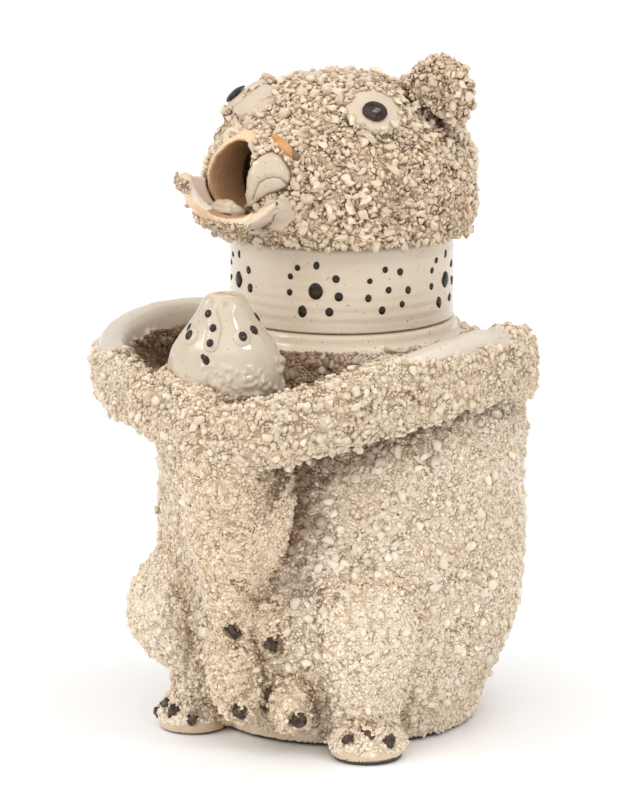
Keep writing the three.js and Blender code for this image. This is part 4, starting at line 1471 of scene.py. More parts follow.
@dataclass
class Luting:
    """Clay worked into the joints, so that the legs and the dog run into the pot without a crease."""

    frame: Frame
    palette: Palette
    nodes: tuple[str, ...] = (
        "jug_body", "right_hind_leg", "left_hind_leg", "right_hind_paw", "left_hind_paw", "dog_torso",
        "dog_right_foreleg", "dog_left_foreleg", "dog_right_hind_leg", "dog_left_hind_leg", "left_arm", "right_arm",
        "dog_head",
    )
    chest_bearing: float = 5.0
    chest_place: tuple[float, float] = (80.0, 112.0)
    chest_halves: tuple[float, float, float] = (20.0, 17.5, 26.0)
    voxel: float = 1.4 * MM
    rounds: int = 70
    least: float = 0.3 * MM
    reach: float = 8.0 * MM
    thick: float = 2.4 * MM
    top: float = 143.0 * MM
    sling: float = 95.0
    smallest: int = 60

    def build(self) -> None:
        """Fill the creases between the solids and coat the fillings."""
        solids = Shell.joined([self.frame.joined(self.nodes), self.chest()])
        shell = Shell.taken(evened(solids, "joint_clay_plain", self.voxel, self.rounds))
        points, normals = shell.points, shell.normals
        wanted = (outwardness(points, normals) > 0.2) | (radius_of(points) > 62 * MM)
        wanted &= points[:, 2] < self.top
        index = np.flatnonzero(wanted)
        wanted[index] = self.frame.proud(points[index], self.nodes) > self.least
        index = np.flatnonzero(wanted)
        wanted[index] = self.joins(points[index]) | (self.chest_reach(points[index]) < 1.15)
        faces = self.large(shell.triangles[wanted[shell.triangles].any(axis=1)], len(points))
        rows, faces = np.unique(faces, return_inverse=True)
        inner = points[rows] - self.thick * normals[rows]
        inner[:, 2] = np.maximum(inner[:, 2], 0.4 * MM)
        slab = closed_slab(points[rows], inner, faces.reshape(-1, 3))
        base = Shell.taken(mesh_of("joint_clay_strip", *slab))
        Furry(
            self.frame, "joint_clay", Body.JUG, LIMB_COAT, self.palette.limb, 171, base=base, melt=1,
            keep=self.coated, others=((self.palette.rim, lambda p, n: ~self.coated(p, n)),), hidden_by=self.nodes,
            stain_and_shade=self.shade_and_stain,
        ).build()

    def shade_and_stain(self, points: Rows, normals: Rows) -> Rows:
        """How much painted shade, with some brown stain, lies on the clay beside the dog."""
        return np.interp(bearing_of(points), (8, 16), (0, 1)) * pot_shade_and_stain(points, normals)

    def coated(self, points: Rows, normals: Rows) -> Rows:
        """Tell where the clay carries crumbs, above the pot's bare foot."""
        return points[:, 2] > coat_foot(points)

    def chest_axes(self) -> Rows:
        """The ways across, out of and up the dog's chest."""
        angle = math.radians(self.chest_bearing)
        across, out = (math.cos(angle), math.sin(angle), 0), (math.sin(angle), -math.cos(angle), 0)
        return np.array([across, out, (0, 0, 1)])

    def chest_reach(self, points: Rows) -> Rows:
        """How far places lie from the middle of the chest's clay, with its skin at one."""
        local = points @ self.chest_axes().T / MM - np.array([0, *self.chest_place])
        return length(local / np.array(self.chest_halves))

    def chest(self) -> Shell:
        """A lump of clay that carries the bear's hands down into the dog's chest."""
        points, faces = ball(4)
        local = points * np.array(self.chest_halves) + np.array([0, *self.chest_place])
        return Shell(local @ self.chest_axes() * MM, points, faces)

    def joins(self, points: Rows) -> Rows:
        """Tell which places lie between two solids that the clay joins.

        Args:
            points: Places, one row each.

        Returns:
            True between a leg and the pot, and so on; false under the arms, which stand clear.
        """
        gaps = np.stack([self.frame.gap(points, node, self.reach) for node in self.nodes], axis=1)
        order = np.argsort(gaps, axis=1)
        first, second = order[:, 0], order[:, 1]
        close = np.take_along_axis(gaps, order[:, 1:2], axis=1)[:, 0] < self.reach
        arm = np.array([node.endswith(("_arm", "dog_head")) for node in self.nodes])
        pot = self.nodes.index("jug_body")
        held = (arm[first] & (second == pot)) | (arm[second] & (first == pot))
        held &= np.abs(bearing_of(points)) < self.sling
        dog = self.nodes.index("dog_torso")
        groove = (np.minimum(first, second) == min(pot, dog)) & (np.maximum(first, second) == max(pot, dog))
        groove &= (bearing_of(points) > 10) & (points[:, 2] > 66 * MM)
        return close & ~held & ~groove

    def large(self, faces: Rows, count: int) -> Rows:
        """Keep the fillings that are not mere scraps.

        Args:
            faces: Corners of each triangle.
            count: How many points there are.

        Returns:
            The triangles that are left.
        """
        label = np.arange(count)
        while True:
            fresh = label.copy()
            np.minimum.at(fresh, faces.ravel(), np.repeat(label[faces].min(axis=1), 3))
            if np.array_equal(fresh, label):
                break
            label = fresh
        island = label[faces[:, 0]]
        return faces[np.bincount(island, minlength=count)[island] >= self.smallest]


class Sight:
    """Looks along the photograph's own lines of sight."""

    bearing = math.radians(35)
    pitch = math.radians(12.2)
    distance = 1.680
    aside = -0.008
    height = 0.4817
    focus = 4654
    centre = (320, 401.5)
    picture_height = 803

    def __init__(self) -> None:
        """Set up the camera's place and axes."""
        ahead = Vector((-math.sin(self.bearing), math.cos(self.bearing), 0))
        self.right = Vector((math.cos(self.bearing), math.sin(self.bearing), 0))
        self.place = -ahead * self.distance + self.right * self.aside + Vector((0, 0, self.height))
        self.ahead = ahead * math.cos(self.pitch) - Vector((0, 0, math.sin(self.pitch)))
        self.up = self.right.cross(self.ahead)

    def hit(self, tree: BVHTree, across: float, down: float) -> tuple[Vector, Vector]:
        """Find what shows at a pixel.

        Args:
            tree: The surface to meet.
            across: The pixel's column.
            down: The pixel's row.

        Returns:
            The place on the surface and the way it faces.
        """
        way = self.ahead * self.focus
        way = way + self.right * (across - self.centre[0]) - self.up * (down - self.centre[1])
        place, normal, _, _ = tree.ray_cast(self.place, way.normalized())
        if place is None:
            place, normal, _, _ = tree.find_nearest(self.place + way.normalized() * self.distance)
        return place, normal

    def pixel(self, points: Rows) -> Rows:
        """Find where places show in the picture: column and row of each."""
        away = points - np.array(self.place)
        depth = away @ np.array(self.ahead)
        across = self.centre[0] + self.focus * (away @ np.array(self.right)) / depth
        down = self.centre[1] - self.focus * (away @ np.array(self.up)) / depth
        return np.stack([across, down], axis=1)

    def facing(self, normals: Rows) -> Rows:
        """How far each surface faces the camera, from -1 to 1."""
        return -(normals @ np.array(self.ahead))

    def camera(self) -> None:
        """Make the scene's camera."""
        lens = bpy.data.cameras.new("camera")
        lens.sensor_width = 36.0
        lens.lens = self.focus * lens.sensor_width / self.picture_height
        lens.clip_start, lens.clip_end = 0.05, 50.0
        camera = placed("camera", lens)
        camera.location = self.place
        camera.rotation_euler = (math.pi / 2 - self.pitch, 0, self.bearing)
        bpy.context.scene.camera = camera


def line_gap(spots: Rows, corners: Rows) -> Rows:
    """Distance of pixels from an open line through corners."""
    best = np.full(len(spots), np.inf)
    for start, end in zip(corners[:-1], corners[1:]):
        along = end - start
        share = ((spots - start) @ along / (along @ along)).clip(0, 1)
        best = np.minimum(best, length(spots - start - share[:, None] * along))
    return best


def inset_of(spots: Rows, outline: Pixels) -> Rows:
    """Distance of pixels from a closed outline, above zero inside."""
    corners = np.array(outline + outline[:1])
    within = np.zeros(len(spots), dtype=bool)
    for start, end in zip(corners[:-1], corners[1:]):
        crossed = (start[1] > spots[:, 1]) != (end[1] > spots[:, 1])
        slope = (end[0] - start[0]) / (end[1] - start[1]) if end[1] != start[1] else 0
        within ^= crossed & (spots[:, 0] < start[0] + (spots[:, 1] - start[1]) * slope)
    gap = line_gap(spots, corners)
    return np.where(within, gap, -gap)


@dataclass
class Slab:
    """A thin layer of clay on a surface, outlined as it shows in the picture."""

    sight: Sight
    tree: BVHTree
    outline: Pixels
    step: float = 0.8
    deep: float = 1.2 * MM
    jump: float = 2.5 * MM

    def mesh(self, name: str, height: Field) -> Mesh:
        """Build the layer.

        Args:
            name: The mesh's name.
            height: Gives its height over the surface, in millimetres, from pixels and how far inside they lie.

        Returns:
            The closed layer.
        """
        corners = np.array(self.outline)
        low, high = corners.min(axis=0) - self.step, corners.max(axis=0) + self.step
        across, down = (np.arange(low[k], high[k], self.step) for k in (0, 1))
        spots = np.stack(np.meshgrid(across, down), axis=-1).reshape(-1, 2)
        inset = inset_of(spots, self.outline)
        used = inset > -self.step
        places, ways = np.zeros((len(spots), 3)), np.zeros((len(spots), 3))
        for index in np.flatnonzero(used):
            places[index], ways[index] = self.sight.hit(self.tree, *spots[index])
        grid = np.arange(len(spots)).reshape(len(down), len(across))
        quads = np.stack([grid[:-1, :-1], grid[1:, :-1], grid[1:, 1:], grid[:-1, 1:]], axis=-1).reshape(-1, 4)
        span = np.linalg.norm(places[quads] - places[quads[:, :1]], axis=2).max(axis=1)
        quads = quads[used[quads].all(axis=1) & (span < self.jump)]
        rows, faces = np.unique(np.concatenate([quads[:, [0, 1, 2]], quads[:, [0, 2, 3]]]), return_inverse=True)
        tops = places[rows] + ways[rows] * (height(spots[rows], inset[rows]) * MM)[:, None]
        backs = places[rows] - ways[rows] * self.deep
        return mesh_of(name, *closed_slab(tops, backs, faces.reshape(-1, 3)))


def face_centres(mesh: Mesh) -> tuple[Rows, Rows]:
    """The middle of each face of a mesh, and the way it faces."""
    return column(mesh.polygons, "center", 3), column(mesh.polygons, "normal", 3)


def eased(corners: Rows, count: int) -> Rows:
    """Draw an even, softened line of places through corners."""
    reach = np.concatenate([[0], np.cumsum(length(np.diff(corners, axis=0)))])
    shares = np.linspace(0, reach[-1], count)
    line = np.stack([np.interp(shares, reach, corners[:, k]) for k in range(3)], axis=1)
    for _ in range(count // 3):
        line[1:-1] = (line[:-2] + 2 * line[1:-1] + line[2:]) / 4
    return line


def roll(name: str, line: Rows, radii: Rows, sides: int = 12) -> Mesh:
    """Make a roll of clay along a line.

    Args:
        name: The mesh's name.
        line: Places along its middle.
        radii: Its radius at each place.
        sides: How many faces go round it.

    Returns:
        The closed roll.
    """
    ways = unit(np.gradient(line, axis=0))
    across = unit(np.cross(ways, (0, 0, 1)))
    rise = np.cross(across, ways)
    turn = 2 * math.pi * np.arange(sides) / sides
    ring = np.cos(turn)[None, :, None] * across[:, None, :] + np.sin(turn)[None, :, None] * rise[:, None, :]
    points = (line[:, None, :] + radii[:, None, None] * ring).reshape(-1, 3)
    faces, last = ring_faces(len(line), sides, False), (len(line) - 1) * sides
    for j in range(1, sides - 1):
        faces += [(0, j, j + 1), (last, last + j + 1, last + j)]
    return mesh_of(name, points, np.array(faces))


@dataclass(frozen=True)
class Dot:
    """A bead of slip: half its width, half its height and its turn in degrees."""

    wide: float
    tall: float
    turn: float = 0.0


class Beads:
    """Collects beads of slip or glaze that share one piece."""

    def __init__(self, relief: float = 0.3) -> None:
        """Start with none; relief is how far a bead stands up, as a share of its half width."""
        self.relief = relief
        self.ball, self.faces = ball(3)
        self.clouds: list[Rows] = []

    def add(self, place: Vector, normal: Vector, dot: Dot, proud: float = 0.0) -> None:
        """Lay a bead on a surface.

        Args:
            place: Its middle.
            normal: The way the surface faces.
            dot: Its size, in millimetres.
            proud: How far it is lifted, in millimetres.
        """
        up = Vector((0, 0, 1))
        across = up.cross(normal).normalized() if abs(normal.z) < 0.97 else Vector((1, 0, 0))
        rise = normal.cross(across)
        angle = math.radians(dot.turn)
        first = across * math.cos(angle) + rise * math.sin(angle)
        second = normal.cross(first)
        axes = np.array([first * dot.wide, second * dot.tall, normal * self.relief * min(dot.wide, dot.tall)])
        self.clouds.append(np.array(place + normal * proud * MM) + self.ball @ axes * MM)

    def piece(self, name: str, body: Body, slot: Slot, material: Material, nodes: Sequence[str] = ()) -> None:
        """Join the beads into one piece, which may stand for solids."""
        each = len(self.ball)
        faces = np.concatenate([self.faces + each * k for k in range(len(self.clouds))])
        add_piece(mesh_of(name, np.concatenate(self.clouds), faces), body, slot, [material], nodes)


@dataclass
class Collar:
    """The plain collar with its rosettes of slip dots."""

    palette: Palette
    foot: float = 152.0
    top: float = 183.0
    radius: float = 41.0
    wall: float = 4.7
    big: tuple[float, ...] = (21.5, 101.0, 185.0, 275.0, 329.0)
    small: tuple[float, ...] = (59.0, 143.0, 228.0)
    around: int = 160
    ring: tuple[tuple[float, float, float, float], ...] = (
        (-6.9, 8.2, 1.1, 1.2), (0.3, 9.4, 1.2, 1.5), (7.4, 4.7, 1.4, 1.5), (8.4, -1.8, 1.6, 1.7),
        (5, -7.4, 1.5, 1.7), (-5, -7.6, 1.7, 2.3), (-10, -1, 1.2, 1.3), (-9.7, 4.9, 1.1, 1.2),
    )

    def outline(self) -> list[tuple[float, float]]:
        """The band's section: radius and height, in millimetres, once round."""
        inner = self.radius - self.wall
        side = [(self.radius + 0.12 * math.sin(k * 1.7), self.foot + 0.9 + k * 1.05) for k in range(28)]
        foot = [(inner, self.foot + 0.8), (inner + 0.8, self.foot), (self.radius - 0.7, self.foot)]
        lip = [(self.radius + 0.25, self.foot + 0.35)]
        return foot + lip + side + [(self.radius, self.top), (inner, self.top)]

    def build(self) -> None:
        """Turn the band and set its dots."""
        section = self.outline()
        angles = np.linspace(0, 2 * math.pi, self.around, endpoint=False)
        points = np.array([
            (r * math.sin(a), -r * math.cos(a), z) for a in angles for r, z in section
        ]) * MM
        mesh = mesh_of("collar_band", points, np.array(ring_faces(self.around, len(section), True)))
        add_piece(mesh, Body.COVER, Slot.GLAZE, [self.palette.glaze], ["collar"])
        self.rosettes()

    def rosettes(self) -> None:
        """Lay the slip dots round the band."""
        rng = np.random.default_rng(81)
        middle = (self.foot + self.top) / 2
        beads = Beads(0.34)
        for bearing in self.big:
            self.bead(beads, bearing, 0, middle, Dot(2.7, 3.1))
            for right, up, wide, tall in self.ring:
                self.bead(beads, bearing, right, middle + up, Dot(wide, tall, rng.uniform(-20, 20)))
        for bearing in self.small:
            self.bead(beads, bearing, 0, middle, Dot(1.2, 1.3))
            for k in range(7):
                angle = 2 * math.pi * (k + rng.uniform(-0.15, 0.15)) / 7
                size = rng.uniform(1, 1.35)
                place = (8.2 * math.cos(angle), middle + 7.6 * math.sin(angle))
                self.bead(beads, bearing, place[0], place[1], Dot(size, size * rng.uniform(1, 1.2)))
        beads.piece("collar_dots", Body.COVER, Slot.SLIP, self.palette.slip)

    def bead(self, beads: Beads, bearing: float, right: float, height: float, dot: Dot) -> None:
        """Lay one dot beside a rosette's middle."""
        angle = math.radians(bearing) + right / self.radius
        normal = Vector((math.sin(angle), -math.cos(angle), 0))
        beads.add(normal * self.radius * MM + Vector((0, 0, height * MM)), normal, dot)


@dataclass
class Dog:
    """The dog's glazed head, with its eyes, nose strip and slip spots."""

    frame: Frame
    palette: Palette
    sight: Sight
    spots: tuple[tuple[float, float, float, float], ...] = (
        (189, 327, 1, 1.7), (254, 330, 1.7, 1.9), (257, 317, 1.5, 2),
        (206, 360.5, 1.3, 1.9), (253, 308, 1.4, 0.9), (203, 357, 0.9, 1.1),
    )
    strip_spots: Pixels = ((210, 314.5), (214, 329), (211, 344))
    eyes: Pixels = ((191, 336), (242, 337.5))
    nostrils: Pixels = ((209, 303), (227, 305))
    nostril: float = 1.5 * MM
    lip: Pixels = (
        (203.5, 300), (207, 295.5), (213, 292.6), (219, 291.6), (227, 292.8), (235, 296.8), (241, 302.3),
        (244, 307), (240.5, 305.6), (234.5, 300.6), (227, 298.6), (217, 298), (209, 298.6),
    )

    def build(self) -> None:
        """Dress the dog's head."""
        plain = self.frame.refined(("dog_head",), "dog_head_plain", 0.8 * MM, 12)
        self.press_nostrils(plain)
        smooth = Shell.taken(plain)
        melted = CrumbBed(self.frame, smooth, self.ruff, 92)
        melted.scatter(*RUFF)
        rough = roughened(smooth, everywhere, ((9, 0.35),), 91)
        mesh = evened(Shell.joined([rough, melted.whole()]), "dog_head_glaze", 0.5 * MM, 2)
        add_piece(mesh, Body.JUG, Slot.GLAZE, [self.palette.dog_glaze], ["dog_head"])
        shell = Shell.read(mesh)
        tree = shell.tree()
        self.face(tree)
        lip = Slab(self.sight, tree, self.lip).mesh("dog_lip", self.lip_height)
        add_piece(lip, Body.JUG, Slot.GLAZE, [self.palette.rose])
        bed = CrumbBed(self.frame, shell, self.loose, 94)
        bed.scatter(*LIMB_COAT.loose[1:])
        bed.pieces("dog_head_crumbs", Body.JUG, self.palette.limb)

    def lip_height(self, spots: Rows, inset: Rows) -> Rows:
        """Height of the dog's lip over its muzzle, in millimetres."""
        return np.interp(inset, (-0.8, 0, 1.6), (-0.5, 0, 0.7))

    def press_nostrils(self, mesh: Mesh) -> None:
        """Press two nostrils into the muzzle."""
        shell = Shell.read(mesh)
        tree = shell.tree()
        moved = shell.points.copy()
        for across, down in self.nostrils:
            place, normal = self.sight.hit(tree, across, down)
            reach = length(shell.points - np.array(place)) / self.nostril
            moved -= np.array(normal) * (self.nostril * np.exp(-(reach**2)))[:, None]
        move_points(mesh, moved)

    def ruff(self, points: Rows, normals: Rows) -> Rows:
        """Tell where crumbs lie under the glaze, at the foot of the head."""
        height = points[:, 2] / MM
        patch = grain(points, 7, 93)
        return (height < 141) | ((height < 150) & (patch > 0.05 + (height - 144) * 0.06))

    def loose(self, points: Rows, normals: Rows) -> Rows:
        """Tell where bare crumbs gather, where the head meets the arms."""
        return points[:, 2] / MM < 136.5 + 2.5 * grain(points, 6, 95)

    def face(self, tree: BVHTree) -> None:
        """Lay the eyes, the nose strip and the spots on the head."""
        rings, dots = Beads(0.5), Beads(0.4)
        for across, down in self.eyes:
            place, normal = self.sight.hit(tree, across, down)
            rings.add(place, normal, Dot(3.5, 3.6), -0.5)
            dots.add(place, normal, Dot(1.6, 1.9), 1.1)
        rings.piece("dog_eye_rings", Body.JUG, Slot.GLAZE, self.palette.dog_glaze, ["dog_right_eye", "dog_left_eye"])
        strip = Beads(0.55)
        places = [self.sight.hit(tree, across, down) for across, down in self.strip_spots]
        for k in range(9):
            share = k / 4
            first = min(int(share), 1)
            place = places[first][0].lerp(places[first + 1][0], share - first)
            near, normal, _, _ = tree.find_nearest(place)
            strip.add(near, normal, Dot(2.9, 3), -0.2)
        strip.piece("dog_nose_ridge", Body.JUG, Slot.GLAZE, self.palette.dog_glaze, ["dog_nose_strip"])
        for place, normal in places:
            dots.add(place, normal, Dot(1.3, 1.5), 1.4)
        for across, down, wide, tall in self.spots:
            place, normal = self.sight.hit(tree, across, down)
            dots.add(place, normal, Dot(wide, tall, 20))
        dots.piece("dog_spots", Body.JUG, Slot.SLIP, self.palette.slip)


@dataclass
class Claws:
    """The dark claws of the bear and the dog, and the bear's pupils."""

    frame: Frame
    palette: Palette
    flatter: float = 0.4
    chips: int = 6
    bare_claw: str = "left_claw_2"

    def build(self) -> None:
        """Round each lump and give it slip."""
        ground = self.frame.joined([node for node in self.frame.nodes if node not in BARE_LUMPS]).tree()
        for seed, node in enumerate(BARE_LUMPS, 101):
            mesh = self.frame.refined((node,), f"{node}_slip", 0.35 * MM, 7)
            if node in PUPILS:
                roughen(mesh, everywhere, ((2.8, 0.1),), seed)
                add_piece(mesh, Body.COVER, Slot.SLIP, [self.palette.slip], [node])
                continue
            self.press(mesh, ground)
            self.chip(mesh, seed)
            roughen(mesh, everywhere, ((3.4, 0.6), (1.5, 0.4)), seed)
            if node == self.bare_claw:
                paint_faces(mesh, [(1, self.worn)], *face_centres(mesh))
            add_piece(mesh, Body.JUG, Slot.SLIP, [self.palette.claw, self.palette.rim], [node])

    def worn(self, points: Rows, normals: Rows) -> Rows:
        """Tell where a claw's slip is worn off, on its upper side."""
        return normals[:, 2] + 0.4 * grain(points, 1.5, 112) > 0.62

    def chip(self, mesh: Mesh, seed: int) -> None:
        """Break flat chips off a claw."""
        rng = np.random.default_rng(seed)
        points = Shell.read(mesh).points
        middle = points.mean(axis=0)
        reach = length(points - middle).max()
        for _ in range(self.chips):
            way = unit(rng.normal(size=3))
            over = (points - middle) @ way - rng.uniform(0.35, 0.7) * reach
            points = points - np.maximum(over, 0)[:, None] * way
        move_points(mesh, points)

    def press(self, mesh: Mesh, ground: BVHTree) -> None:
        """Press a claw flatter on what carries it."""
        points = Shell.read(mesh).points
        seat, way, _, _ = ground.find_nearest(points.mean(axis=0))
        over = ((points - np.array(seat)) @ np.array(way)).clip(0)
        move_points(mesh, points - self.flatter * over[:, None] * np.array(way))


MOUTH_FOLD: Pixels = (
    (246, 182), (248, 172), (252, 164), (258, 158.5), (264, 154), (272, 152), (279, 155.5),
    (285, 163), (289, 171), (290, 179), (286, 186), (278, 190), (268, 193), (259, 199),
    (252, 207), (247, 207), (245, 195),
)
EYE_MOUND: Pixels = (
    (233, 104), (243, 99), (250, 91), (258, 83), (268, 82), (275, 89), (274, 100),
    (264, 111), (248, 118), (234, 117), (226, 112), (227, 106),
)
BROW_CHIP: Pixels = (
    (270.5, 137.5), (275, 134.5), (284, 141), (293, 149), (301, 157.5), (298, 161.5), (291, 158.5),
    (283, 153), (276, 146),
)


@dataclass
class Head:
    """The bear's head: furry dome and muzzle, open mouth, jaw, ear and eyes."""

    frame: Frame
    palette: Palette
    sight: Sight
    turn: float = math.radians(-5.0)
    muzzle_height: float = 208.3
    mouth_side: float = -1.5
    mouth_rise: float = 1.5
    mouth_wide: float = 9.5
    mouth_tall: float = 12.5
    foot: float = 183.3
    jaw_rise: float = 4.0
    jaw_end_rise: float = 3.2
    ear_draw: float = 0.32
    hollow_foot: float = 205.3
    hollow_wide: float = 43.8
    hollow_tall: float = 30.8
    hollow_edge: float = 45.0
    jaw_middle: float = 54.0
    jaw_inner: tuple[float, float, float] = (26.0, 14.5, 14.0)
    jaw_outer: tuple[float, float, float] = (28.6, 17.1, 16.6)
    jaw_break: tuple[float, float, float] = (28.9, 17.4, 16.9)
    rim: float = 1.06
    throat_start: float = 20.0
    face_start: float = 40.0
    lip_start: float = 44.0
    tip_start: float = 74.0
    cheek: Pixels = (
        (246, 226), (257, 214), (266, 202), (276, 195), (288, 197), (298, 207), (295, 219),
        (282, 229), (264, 234), (248, 236),
    )

    def face_frame(self, points: Rows) -> tuple[Rows, Rows, Rows]:
        """Places as ahead, left and height, in millimetres, in the head's own frame."""
        sin, cos = math.sin(self.turn), math.cos(self.turn)
        ahead = (points[:, 0] * sin - points[:, 1] * cos) / MM
        left = (points[:, 0] * cos + points[:, 1] * sin) / MM
        return ahead, left, points[:, 2] / MM

    def mouth_reach(self, points: Rows) -> Rows:
        """How far each place lies from the mouth's middle, with its edge at one."""
        _, left, height = self.face_frame(points)
        wide = (left - self.mouth_side) / self.mouth_wide
        tall = (height - self.muzzle_height - self.mouth_rise) / self.mouth_tall
        return np.hypot(wide, tall)

    def inside(self, points: Rows, normals: Rows) -> Rows:
        """Tell where the hollow of the head is."""
        ahead, _, height = self.face_frame(points)
        rise = np.maximum(height - self.hollow_foot, 0) * self.hollow_wide / self.hollow_tall
        hollow = np.sqrt(radius_of(points / MM) ** 2 + rise**2) < self.hollow_edge
        throat = (self.mouth_reach(points) < self.rim) & (ahead > self.throat_start)
        return (hollow | throat) & (height > self.foot + 1)

    def deep_inside(self, points: Rows, normals: Rows) -> Rows:
        """Tell where the hollow lies behind the mouth."""
        ahead, _, _ = self.face_frame(points)
        return self.inside(points, normals) & (ahead < self.face_start)

    def mouth_edge(self, points: Rows, normals: Rows) -> Rows:
        """Tell where the smooth edge of the mouth is."""
        ahead, left, _ = self.face_frame(points)
        side = (left - self.mouth_side) / self.mouth_wide
        edge = np.interp(side, (-1, 0.2, 0.8), (1.3, 1.24, 1.1))
        return (self.mouth_reach(points) < edge) & (ahead > self.lip_start) & ~self.inside(points, normals)

    def far_lip(self, points: Rows, normals: Rows) -> Rows:
        """Tell where the mouth's edge is broken to the tan clay."""
        _, left, _ = self.face_frame(points)
        return self.mouth_edge(points, normals) & (left < self.mouth_side + 0.45 * self.mouth_wide)

    def near_lip(self, points: Rows, normals: Rows) -> Rows:
        """Tell where the mouth's edge is glazed."""
        return self.mouth_edge(points, normals) & ~self.far_lip(points, normals)

    def pale_cheek(self, points: Rows, normals: Rows) -> Rows:
        """Tell where the side of the jaw is smooth."""
        ahead, _, _ = self.face_frame(points)
        inset = inset_of(self.sight.pixel(points), self.cheek) + 4 * grain(points, 4, 121)
        return (inset > 0) & (ahead > self.face_start) & (self.sight.facing(normals) > -0.2)

    def marked(self, points: Rows, normals: Rows) -> Rows:
        """Tell where the fold and the broken edge beside the mouth lie."""
        ahead, _, _ = self.face_frame(points)
        spots = self.sight.pixel(points)
        inset = np.maximum(inset_of(spots, MOUTH_FOLD) + 3, inset_of(spots, BROW_CHIP))
        inset = np.maximum(inset, inset_of(spots, EYE_MOUND))
        return (inset > 1) & (ahead > self.throat_start) & (self.sight.facing(normals) > 0)

    def furry(self, points: Rows, normals: Rows) -> Rows:
        """Tell where the head's crumbs lie."""
        smooth = self.inside(points, normals) | self.mouth_edge(points, normals) | self.pale_cheek(points, normals)
        smooth |= self.marked(points, normals)
        under = (points[:, 2] / MM < self.foot + 0.9) & (normals[:, 2] < -0.6)
        return ~smooth & ~under

    def jaw_bowl(self, points: Rows, halves: tuple[float, float, float]) -> Rows:
        """How far each place lies from the middle of the jaw's bowl, with a given bowl at one."""
        ahead, left, height = self.face_frame(points)
        ahead, drop = ahead - self.jaw_middle, height - self.muzzle_height
        return np.sqrt((ahead / halves[0]) ** 2 + (left / halves[1]) ** 2 + (drop / halves[2]) ** 2)

    def ear_bend(self, points: Rows) -> Rows:
        """Draw out the ear towards the crown."""
        way = -np.array(self.sight.right)
        along = (points - points.mean(axis=0)) @ way
        return points + self.ear_draw * np.maximum(along, 0)[:, None] * way

    def jaw_bend(self, points: Rows) -> Rows:
        """Draw up the jaw's front edge and the end of its near edge."""
        ahead, left, height = self.face_frame(points)
        rise = self.jaw_rise * np.interp(ahead, (58, 66, 76), (0, 0.35, 1))
        end = np.interp(ahead, (50, 62), (1, 0)), np.interp(left, (4, 12), (0, 1))
        rise += self.jaw_end_rise * end[0] * end[1]
        rise *= np.interp(height - self.muzzle_height, (-15, -6), (0, 1))
        return points + np.outer(rise * MM, (0, 0, 1))

    def jaw_outside(self, points: Rows, normals: Rows) -> Rows:
        """Tell where the jaw carries crumbs, below its rim and outside."""
        outside = (self.jaw_bowl(points, self.jaw_outer) > 1) & (normals[:, 2] < 0.5)
        return outside & ~self.pale_cheek(points, normals)

    def jaw_rim(self, points: Rows, normals: Rows) -> Rows:
        """Tell where the jaw's wall was broken across."""
        broken = (self.jaw_bowl(points, self.jaw_break) < 1) | (normals[:, 2] > 0.5)
        return broken & (self.jaw_bowl(points, self.jaw_inner) > self.rim)

    def jaw_tip(self, points: Rows, normals: Rows) -> Rows:
        """Tell where the broken wall is tan, at the jaw's tip."""
        ahead, left, _ = self.face_frame(points)
        return self.jaw_rim(points, normals) & (ahead > self.tip_start) & (left < 6)

    def jaw_floor(self, points: Rows, normals: Rows) -> Rows:
        """Tell where the jaw's bowl is brown, low in its hollow."""
        deep = self.muzzle_height - 8.5 + 1.5 * grain(points, 5, 122)
        return (self.jaw_bowl(points, self.jaw_inner) < self.rim) & (points[:, 2] / MM < deep)

    def build(self) -> None:
        """Dress the head and what is luted to it."""
        palette = self.palette
        hidden = ("left_ear", "lower_jaw", "left_eye", "right_eye")
        looks = ((palette.pale_glaze, self.pale_cheek), (palette.lip, self.far_lip))
        looks += ((palette.shaded_fold_glaze, self.near_lip), (palette.throat, self.inside))
        looks += ((palette.inner, self.deep_inside),)
        Furry(
            self.frame, "head_shell", Body.COVER, HEAD_COAT, palette.head, 131, rounds=7, melt=1, inset=1.4 * MM,
            keep=self.furry, hidden_by=hidden, others=looks,
        ).build()
        Furry(
            self.frame, "left_ear", Body.COVER, HEAD_COAT, palette.head, 132, voxel=0.8 * MM, melt=1, inset=2.1 * MM,
            hidden_by=("head_shell",), bend=self.ear_bend,
        ).build()
        jaw = ((palette.pale_glaze, lambda p, n: ~self.jaw_outside(p, n)), (palette.throat, self.jaw_floor))
        jaw += ((palette.rim, self.jaw_rim), (palette.lip, self.jaw_tip))
        Furry(
            self.frame, "lower_jaw", Body.COVER, LIMB_COAT, palette.head, 133, voxel=0.7 * MM, rounds=5, melt=1,
            keep=self.jaw_outside, hidden_by=("head_shell",), others=jaw, bend=self.jaw_bend,
        ).build()
        for seed, node in enumerate(("left_eye", "right_eye"), 141):
            mesh = self.frame.refined((node,), f"{node}_white", 0.45 * MM, 8)
            roughen(mesh, everywhere, ((5, 0.25),), seed)
            add_piece(mesh, Body.COVER, Slot.GLAZE, [palette.eye_glaze], [node])
            shell = Shell.read(mesh)
            bed = CrumbBed(self.frame, shell, self.eye_margin(shell), seed + 50, crisp=True)
            bed.scatter(*HEAD_COAT.loose)
            bed.pieces(f"{node}_crumbs", Body.COVER, palette.head)
        mesh = self.frame.refined(("tongue",), "tongue_plate", 0.5 * MM, 3)
        roughen(mesh, everywhere, ((6, 1.3), (2.2, 0.5)), 143)
        add_piece(mesh, Body.COVER, Slot.GLAZE, [palette.eye_glaze], ["tongue"])

    def eye_margin(self, shell: Shell) -> Rule:
        """Tell where crumbs lap over an eye: round its edge, and over the lower side of the right one."""
        middle = shell.points.mean(axis=0)
        way = unit(middle - np.array([0, 0, 195 * MM]))

        def off_axis(points: Rows) -> Rows:
            """Distance from the line out of the eye's middle."""
            local = points - middle
            return length(local - (local @ way)[:, None] * way)

        edge = np.percentile(off_axis(shell.points), 97)

